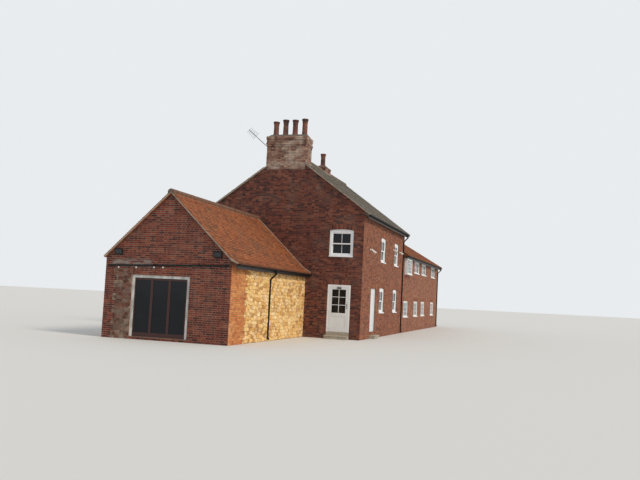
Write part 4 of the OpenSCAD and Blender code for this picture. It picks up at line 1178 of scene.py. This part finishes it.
def layTiles(name, roof, finish, slot, seed):
    places = []
    for face in slopes(roof):
        turn = turnOf(face)
        left, right, foot, _ = extent(face)
        for index, low, high, spans in rows(face, tiling["gauge"], foot):
            anchor = left - (index % 2) * tiling["width"] / 2
            for begin, end, _, _ in spans:
                for a, b in cells(begin, end, anchor, (tiling["width"],), tiling["least"]):
                    first = a - tiling["past"] if a <= left + touch else a
                    last = b + tiling["past"] if b >= right - touch else b
                    places.append((spot(face, (first + last) / 2, low), turn,
                                   (last - first - tiling["gap"], high - low + tiling["lap"], 1.0)))
    lay(name, "tile", places, finish, slot, push=tiling["push"], sway=tiling["sway"], seed=seed)


def layRidge(block, finish, seed):  # half-round tiles over a core of mortar
    name, node, roof = block + "Ridge", block + "_ridge_tiles", block + "_roof_front"
    radius = (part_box(node)[1].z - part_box(roof)[1].z) / (1 - ridging["drop"])
    level = max(slopes(roof), key=lambda face: face["normal"].x ** 2)["normal"].z
    droop = math.degrees(math.acos(level)) - math.degrees(math.asin(ridging["drop"] * level))
    archUnit(name + "Tile", radius, radius - ridging["thick"], droop)
    archUnit(name + "Core", radius - ridging["core"], ridging["coreInner"], droop)
    turn = turnFrom((0, 1, 0), (-1, 0, 0), (0, 0, 1))
    tiles, cores = [], []
    for low, high in boxesOf(node):
        x, z, length = (low.x + high.x) / 2, high.z - radius, high.y - low.y
        count = max(1, round(length / ridging["pitch"]))
        step = length / count
        tiles += [((x, low.y + (i + 0.5) * step, z), turn, (step - ridging["joint"], 1.0, 1.0))
                  for i in range(count)]
        cores.append(((x, (low.y + high.y) / 2, z), turn, (length - ridging["coreShort"], 1.0, 1.0)))
    piece = lay(name, name + "Tile", tiles, finish, "ridge_tile", sway=ridging["sway"], seed=seed)
    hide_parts(node)
    lay(name + "Mortar", name + "Core", cores, "houseMortar", "ridge_tile", seed=seed)


def layRoofs():
    seed = 31
    for block, look in blocks.items():
        for side in ("Front", "Back"):
            roof = block + "_roof_" + side.lower()
            layTiles(block + side + "Tiles", roof, look["tile"], look["slot"], seed)
            seed += 1
    for seed, (block, look) in enumerate(blocks.items(), 41):
        layRidge(block, look["ridge"], seed)


layRoofs()


# Mortar beads along verges, ridges, walls and chimneys: one tree sweeps a lumpy bead along a path

beading = {
    "step": 0.05,
    "grain": 9.0,             # scale of the noise that makes a bead lumpy
    "lump": 0.8,              # how much of the radius it takes or gives, at the most by half
    "sides": 6,
    "verge": 0.019,           # radius, as those of the next four
    "abutment": 0.022,
    "chimney": 0.035,
    "ridgeFoot": 0.011,
    "vergeInset": 0.014,
    "vergeUnder": 0.030,
    "wallOut": 0.016,
    "wallLift": 0.026,
    "stackOut": 0.012,
    "stackLift": 0.03,
    "stackEnd": 0.2,          # a chimney's face nearer than this to a roof's end has no bead
    "ridgeOut": 0.004,
    "ridgeLift": 0.022,
    "ridgeShort": 0.01,
    "ridgeStep": 0.07,
}

undercloak = {
    "inset": 0.10,
    "under": 0.0455,
    "gap": 0.002,
    "reach": 0.099,
    "thick": 0.012,
    "sway": 0.008,
}


def beadTree():
    tree, given = newTree("mortarBead", {"Path": "Geometry", "Radius": "Float", "Step": "Float",
                                         "Finish": "Material"})
    curve = put(tree, "GeometryNodeMeshToCurve", {"Mesh": given["Path"]})
    curve = put(tree, "GeometryNodeResampleCurve", {"Curve": curve, "Length": given["Step"]}, mode="LENGTH")
    swing = put(tree, "ShaderNodeTexNoise",
                {"Vector": put(tree, "GeometryNodeInputPosition"), "Scale": beading["grain"]})
    for operation, value in (("SUBTRACT", 0.5), ("MULTIPLY", beading["lump"]), ("ADD", 1.0),
                             ("MULTIPLY", given["Radius"])):
        swing = maths(tree, operation, swing, value)
    ring = put(tree, "GeometryNodeCurvePrimitiveCircle", {"Resolution": beading["sides"], "Radius": 1.0})
    bead = put(tree, "GeometryNodeCurveToMesh",
               {"Curve": curve, "Profile Curve": ring, "Scale": swing, "Fill Caps": True})
    return endTree(tree, bead, given["Finish"])


mortarBead = beadTree()


def layBead(name, paths, radius, finish, slot, step=beading["step"]):
    points, edges = [], []
    for path in paths:
        edges += [(len(points) + i, len(points) + i + 1) for i in range(len(path) - 1)]
        points += path
    piece = shape(name, points, edges=edges)
    grow(piece, mortarBead, {"Radius": radius, "Step": step, "Finish": finishes[finish]})
    settle(piece, slot)


def vergePath(roof, y, under):  # down one slope along its edge, a little under the tile plane
    faces = slopes(roof)
    low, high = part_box(roof)
    outer, inner = (high.x, low.x) if "front" in roof else (low.x, high.x)
    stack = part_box("gable_chimney")
    if "house" in roof and y < stack[1].y:
        inner = max(inner, stack[1].x) if "front" in roof else min(inner, stack[0].x)
    least = beading["step"]
    bends = sorted({round(spot(face, s, t).x, 4) for face in faces for points in face["flat"]
                    for s, t in points if least < abs(spot(face, s, t).x - inner) < abs(outer - inner)})
    knees = [x for x in bends if abs(x - outer) > least and len(faces) > 1][:1]
    return [(x, y, roofTop(faces, x) - under) for x in [inner] + knees + [outer]]


def cloakPlaces(route, out):  # a row of tiles laid flat under the ones at a verge
    places = []
    for a, b in zip(route, route[1:]):
        under = (b - a).normalized().cross(out)
        if under.z > 0:
            under.negate()
        count = max(1, round((b - a).length / tiling["width"]))
        size = ((b - a).length / count - undercloak["gap"], undercloak["reach"], undercloak["thick"])
        for i in range(count):
            places.append((a + (b - a) * ((i + 0.5) / count) + under * undercloak["under"],
                           turnFrom(out.cross(under), out, under), size))
    return places


def layVerges():
    for block, look in blocks.items():
        low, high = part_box(block + "_roof_front")
        paths, places = [], []
        for side in ("front", "back"):
            for verge in look["verges"]:
                roof, (y, inward) = block + "_roof_" + side, (low.y, 1) if verge == "near" else (high.y, -1)
                paths.append(vergePath(roof, y + inward * beading["vergeInset"], beading["vergeUnder"]))
                route = [Vector(p) for p in vergePath(roof, y + inward * undercloak["inset"], 0.0)]
                places += cloakPlaces(route, Vector((0, -inward, 0)))
        layBead(block + "VergeMortar", paths, beading["verge"], "vergeMortar", look["slot"])
        lay(block + "Undercloak", "bar", places, look["tile"], look["slot"], sway=undercloak["sway"], seed=51)


def abutPath(roof, y):  # the foot of the house's wall that a slope meets, no further than that wall
    lift = beading["wallLift"]
    path = vergePath(roof, y, -lift)
    end = min(max(path[-1][0], houseSides[0]), houseSides[1])
    return path[:-1] + [(end, y, roofTop(slopes(roof), end) + lift)]


def stackPaths(stack):  # round the foot of a chimney, where it leaves the house's tiles
    corners = [v.co for v in cadNodes[stack].data.vertices]
    middle = (min(p.z for p in corners) + max(p.z for p in corners)) / 2
    low, high = boxOf([p for p in corners if p.z < middle])
    out, lift = beading["stackOut"], beading["stackLift"]
    left, right, near, far = low.x - out, high.x + out, low.y - out, high.y + out
    front, back = bothSlopes("house")
    leftTop, rightTop = roofTop(back, left) + lift, roofTop(front, right) + lift
    roofLow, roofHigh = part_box("house_roof_front")
    paths = [[(x, max(near, roofLow.y), z), (x, far, z)] for x, z in ((left, leftTop), (right, rightTop))]
    for y in (near, far):
        if roofLow.y + beading["stackEnd"] < y < roofHigh.y - beading["stackEnd"]:
            paths.append([(left, y, leftTop), (0.0, y, roofHigh.z + lift), (right, y, rightTop)])
    return paths


def ridgePaths(block):  # along both feet of a row of ridge tiles
    front, back = bothSlopes(block)
    out, lift, short = beading["ridgeOut"], beading["ridgeLift"], beading["ridgeShort"]
    paths = []
    for low, high in boxesOf(block + "_ridge_tiles"):
        for x, faces in ((low.x - out, back), (high.x + out, front)):
            z = roofTop(faces, x) + lift
            paths.append([(x, low.y + short, z), (x, high.y - short, z)])
    return paths


def layPointing():
    out = beading["wallOut"]
    for block, y in (("outbuilding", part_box("gable_wall_upper")[0].y - out),
                     ("wing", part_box("house_far_wall")[1].y + out)):
        layBead(block + "Abutment", [abutPath(block + "_roof_" + side, y) for side in ("front", "back")],
                beading["abutment"], "vergeMortar", "orange_tile")
    layBead("chimneyFeet", stackPaths("gable_chimney") + stackPaths("ridge_chimney"), beading["chimney"],
            "vergeMortar", "grey_tile")
    for block, look in blocks.items():
        layBead(block + "RidgeFoot", ridgePaths(block), beading["ridgeFoot"], "gableMortar", look["slot"],
                beading["ridgeStep"])


layVerges()
layPointing()


# Rainwater goods: brackets and unions round the gutters, clips on the pipes

rainwater = {
    "bracket": {"pitch": 0.9, "length": 0.030, "aside": 0.0},
    "union": {"pitch": 3.6, "length": 0.060, "aside": 0.3},   # aside, so as to miss the brackets
    "shells": {   # outer and inner radius, degrees past the half circle, and steps
        "bracket": (0.0590, 0.0555, -19, 10),
        "union": (0.0605, 0.0555, -23, 10),
        "clip": (0.0385, 0.0335, 40, 14),
    },
    "clipPitch": 1.8,
    "clipHeight": 0.030,
    "lowestClip": 0.45,
    "clipSpan": 1.25,         # how much less than a pipe's top its clips span
    "clipFree": 1.0,          # and how much of it needs none
    "pipeMiddle": 0.042,      # from the wall side of a pipe's sockets to its middle
    "ear": (0.13, 0.030, 0.008),
    "earOut": 0.004,
}


def layRainwater():
    for name, values in rainwater["shells"].items():
        archUnit(name, *values)
    under = turnFrom((0, 1, 0), (1, 0, 0), (0, 0, -1))
    gutters = boxesOf("gutters")
    for name in ("bracket", "union"):
        look, places = rainwater[name], []
        for low, high in gutters:
            count = max(1, round((high.y - low.y) / look["pitch"]))
            step = (high.y - low.y) / count
            places += [(((low.x + high.x) / 2, low.y + (i + 0.5) * step + look["aside"], high.z), under,
                        (look["length"], 1.0, 1.0)) for i in range(count)]
        lay("gutter" + name.capitalize() + "s", name, places, "blackGutter", "black_gutter", seed=71)
    clips, ears = [], []
    for low, high in boxesOf("downpipes"):
        side, wall = (1, low.x) if low.x + high.x > 0 else (-1, high.x)
        y = (low.y + high.y) / 2
        count = max(2, round((high.z - rainwater["clipFree"]) / rainwater["clipPitch"]))
        for i in range(count):
            z = rainwater["lowestClip"] + (high.z - rainwater["clipSpan"]) * i / (count - 1)
            clips.append(((wall + side * rainwater["pipeMiddle"], y, z),
                          turnFrom((0, 0, 1), (0, -side, 0), (side, 0, 0)),
                          (rainwater["clipHeight"], 1.0, 1.0)))
            ears.append(((wall + side * rainwater["earOut"], y, z - rainwater["ear"][1] / 2),
                         turnFrom((0, side, 0), (0, 0, 1), (side, 0, 0)), rainwater["ear"]))
    lay("pipeClips", "clip", clips, "blackGutter", "black_gutter", seed=72)
    lay("pipeClipEars", "bar", ears, "blackGutter", "black_gutter", seed=73)


layRainwater()


# Lamps: the string under the gable's rail, and a lens on each lamp

festoon = {
    "count": 13,
    "pitch": 0.3525,
    "first": -3.26,           # x of the bulb at the left
    "sunlitBulbs": (0, 2, 4, 5),  # the white bulbs in the sun, counted from the left; the others are in shade and are made darker with painted shade
    "globe": 0.030,           # radius
    "holder": (0.013, 0.024),
    "overlap": 0.003,         # how far a holder reaches into the rail
    "drop": 0.043,            # from the rail's underside to the middle of a globe
    "railEnd": 0.2,           # length of the rail's end on which its level is read
    "sway": 0.08,
}

lamps = {
    "tip": 15,                # degrees that the gable's lamps lean down
    "lens": (0.252, 0.152, 0.006),
    "widest": 1.0,            # parts of the gable's lamps that are wider have no lens
    "headTip": 35,            # degrees that the front's lamps lean down
    "headLens": (0.044, 0.044, 0.012),
}


lampProfiles = {   # sides, then pairs of radius and height
    "globe": (10, [(0.30, -0.98), (0.68, -0.74), (0.95, -0.30), (1.0, 0.0), (0.90, 0.44), (0.62, 0.80),
                   (0.42, 1.0)]),
    "holder": (10, [(0.8, 0.0), (1.0, 0.15), (1.0, 0.85), (0.7, 1.0)]),
    "lens": (14, [(1.0, -0.3), (1.0, 0.3), (0.75, 0.72), (0.35, 0.95)]),
}


def foremost(corners, out):  # the middle of the face of a part that looks one way
    reach = max(out.dot(Vector(p)) for p in corners)
    ring = [Vector(p) for p in corners if out.dot(Vector(p)) > reach - touch]
    return sum(ring, Vector()) / len(ring)


def layString(rail):
    low, high = boxOf(rail)
    lowEnd, highEnd = (min(p[2] for p in rail if abs(p[0] - x) < festoon["railEnd"]) for x in (low.x, high.x))
    sunlitBulbs, clear, holders = [], [], []
    radius, height = festoon["holder"]
    y, level = (low.y + high.y) / 2, (0, 0, 0)
    for i in range(festoon["count"]):
        x = festoon["first"] + i * festoon["pitch"]
        z = lowEnd + (highEnd - lowEnd) * (x - low.x) / (high.x - low.x)
        # bulbs that are not in the list are in shade and get the darker glass, which is painted shade
        globes = sunlitBulbs if i in festoon["sunlitBulbs"] else clear
        globes.append(((x, y, z - festoon["drop"]), level, (festoon["globe"],) * 3))
        holders.append(((x, y, z - height + festoon["overlap"]), level, (radius, radius, height)))
    lay("stringGlobes", "globe", sunlitBulbs, "bulbGlass", "white_lamp", sway=festoon["sway"], seed=81)
    lay("stringClearGlobes", "globe", clear, "clearBulbGlass", "white_lamp", sway=festoon["sway"], seed=85)
    lay("stringHolders", "holder", holders, "lampHousing", "lamp_housing", seed=82)


def layLamps():
    for name, (sides, profile) in lampProfiles.items():
        roundUnit(name, profile, sides)
    parts = islands("gable_lamps")
    widths = [boxOf(part)[1].x - boxOf(part)[0].x for part in parts]
    layString(parts[widths.index(max(widths))])
    tip = math.radians(lamps["tip"])
    out, up = Vector((0, -math.cos(tip), -math.sin(tip))), Vector((0, -math.sin(tip), math.cos(tip)))
    turn = turnFrom(up.cross(out), up, out)
    lenses = [(foremost(part, out) - up * lamps["lens"][1] / 2, turn, lamps["lens"])
              for part, width in zip(parts, widths) if width <= lamps["widest"]]
    lay("floodLenses", "flatLens", lenses, "lampFace", "white_lamp", seed=83)
    tip = math.radians(lamps["headTip"])
    out, across = Vector((math.cos(tip), 0, -math.sin(tip))), Vector((0, 1, 0))
    turn = turnFrom(across, out.cross(across), out)
    discs = [(foremost(part, out), turn, lamps["headLens"]) for part in islands("front_lamps")]
    lay("frontLampLenses", "lens", discs, "lampFace", "white_lamp", seed=84)


layLamps()


# The step before the front door, with a rounded tread

frontStep = {
    "middle": -2.60,          # y
    "length": 1.00,
    "reach": 0.285,
    "height": 0.15,
    "tread": 0.045,
    "nosing": 0.020,
    "arcs": 8,                # parts of the tread's round edge
    "inWall": 0.01,
    "arris": (0.006, 0.97),   # width of the rounded ends, and the size of their outline as a share
}


def layFrontStep():
    wall, top, half = houseSides[1], frontStep["height"], frontStep["tread"] / 2
    far = wall + frontStep["reach"]
    outline = [(wall - frontStep["inWall"], 0.0), (far - frontStep["nosing"], 0.0),
               (far - frontStep["nosing"], top - frontStep["tread"])]
    for i in range(frontStep["arcs"] + 1):
        a = math.radians(-90 + 180 * i / frontStep["arcs"])
        outline.append((far - half + half * math.cos(a), top - half + half * math.sin(a)))
    outline.append((wall - frontStep["inWall"], top))
    mx, mz = (sum(values) / len(outline) for values in zip(*outline))
    near, end = (frontStep["middle"] + side * frontStep["length"] / 2 for side in (-1, 1))
    inset, small = frontStep["arris"]
    rings = [[(mx + (x - mx) * size, y, max(0.0, mz + (z - mz) * size)) for x, z in outline]
             for y, size in ((end, small), (end - inset, 1.0), (near + inset, 1.0), (near, small))]
    points, faces = [], []
    loft(points, faces, rings)
    settle(newPiece("front_door_step", points, faces, "stepStone"), "step_stone")


layFrontStep()


# Joinery: glazing bars on every light, and the door's mouldings

glazing = {
    "bar": (0.019, 0.013),    # width and depth
    "paneWidth": 0.40,        # about the width that a light is divided into
    "paneHeight": 0.42,
    "smallPane": 0.24,        # pane height of the wing's casements
    "boxedPane": 0.20,        # and of the one that stands out of the wall
}


def layBars():
    wide, deep = glazing["bar"]
    places = []
    for low, high in boxesOf("window_glass"):
        if low.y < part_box("gable_wall_left")[0].y - 1:   # the outbuilding's glazed leaves have no bars
            continue
        size = high - low
        axis = 0 if size.x < size.y else 1
        normal, rise = Vector((0, 0, 0)), Vector((0, 0, 1))
        normal[axis] = 1 if (low[axis] + high[axis]) > 0 else -1
        face = {"along": rise.cross(normal), "rise": rise, "normal": normal,
                "depth": max(normal.dot(low), normal.dot(high))}
        left, right = sorted((low.dot(face["along"]), high.dot(face["along"])))
        pane = "paneHeight"
        if low.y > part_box("house_far_wall")[1].y:
            pane = "boxedPane" if low.x > houseSides[1] else "smallPane"
        down = max(1, round(size.z / glazing[pane]))
        across = max(1, round((right - left) / glazing["paneWidth"]))
        for i in range(1, down):
            places.append((spot(face, (left + right) / 2, low.z + size.z * i / down - wide / 2), turnOf(face),
                           (right - left, wide, deep)))
        for i in range(1, across):
            middle = left + (right - left) * i / across
            places.append((spot(face, middle + wide / 2, (low.z + high.z) / 2), turnOf(face, math.pi / 2),
                           (size.z, wide, deep)))
    lay("glazingBars", "bar", places, "whitePaint", "white_paint", seed=61)


doorTrim = {
    "moulding": (0.020, 0.012),
    "sunk": 0.004,            # what lies at least this far behind the leaf's face is a panel
    "closer": (0.20, 0.055, 0.045),
    "closerDrop": 0.085,      # from the top of the leaf to the closer's underside
}


def areaOf(face):
    return sum(abs((b[0] - a[0]) * (c[1] - a[1]) - (c[0] - a[0]) * (b[1] - a[1])) for a, b, c in face["flat"])


def layDoorTrim():
    found = sorted(planes(["gable_door"], south), key=lambda face: face["depth"])
    leaf = max(found, key=lambda face: extent(face)[3] - extent(face)[2])
    panel = max((face for face in found if face["depth"] < leaf["depth"] - doorTrim["sunk"]), key=areaOf)
    left, right, foot, top = extent(panel)
    wide, high = doorTrim["moulding"]
    places = [(spot(panel, (left + right) / 2, t), turnOf(panel), (right - left, wide, high))
              for t in (foot, top - wide)]
    places += [(spot(panel, s, (foot + top) / 2), turnOf(panel, math.pi / 2),
                (top - foot - 2 * wide, wide, high)) for s in (left + wide, right)]
    lay("doorMoulding", "bar", places, "doorPaint", "door_paint", body="gable_door", seed=62)
    left, right, _, top = extent(leaf)
    place = spot(leaf, (left + right) / 2, top - doorTrim["closerDrop"])
    lay("doorCloser", "brick", [(place, turnOf(leaf), doorTrim["closer"])], "blackIron", "handle_metal",
        body="gable_door", seed=63)


layBars()
layDoorTrim()
for unit in units.values():
    bpy.data.objects.remove(unit)
print("visual model made")
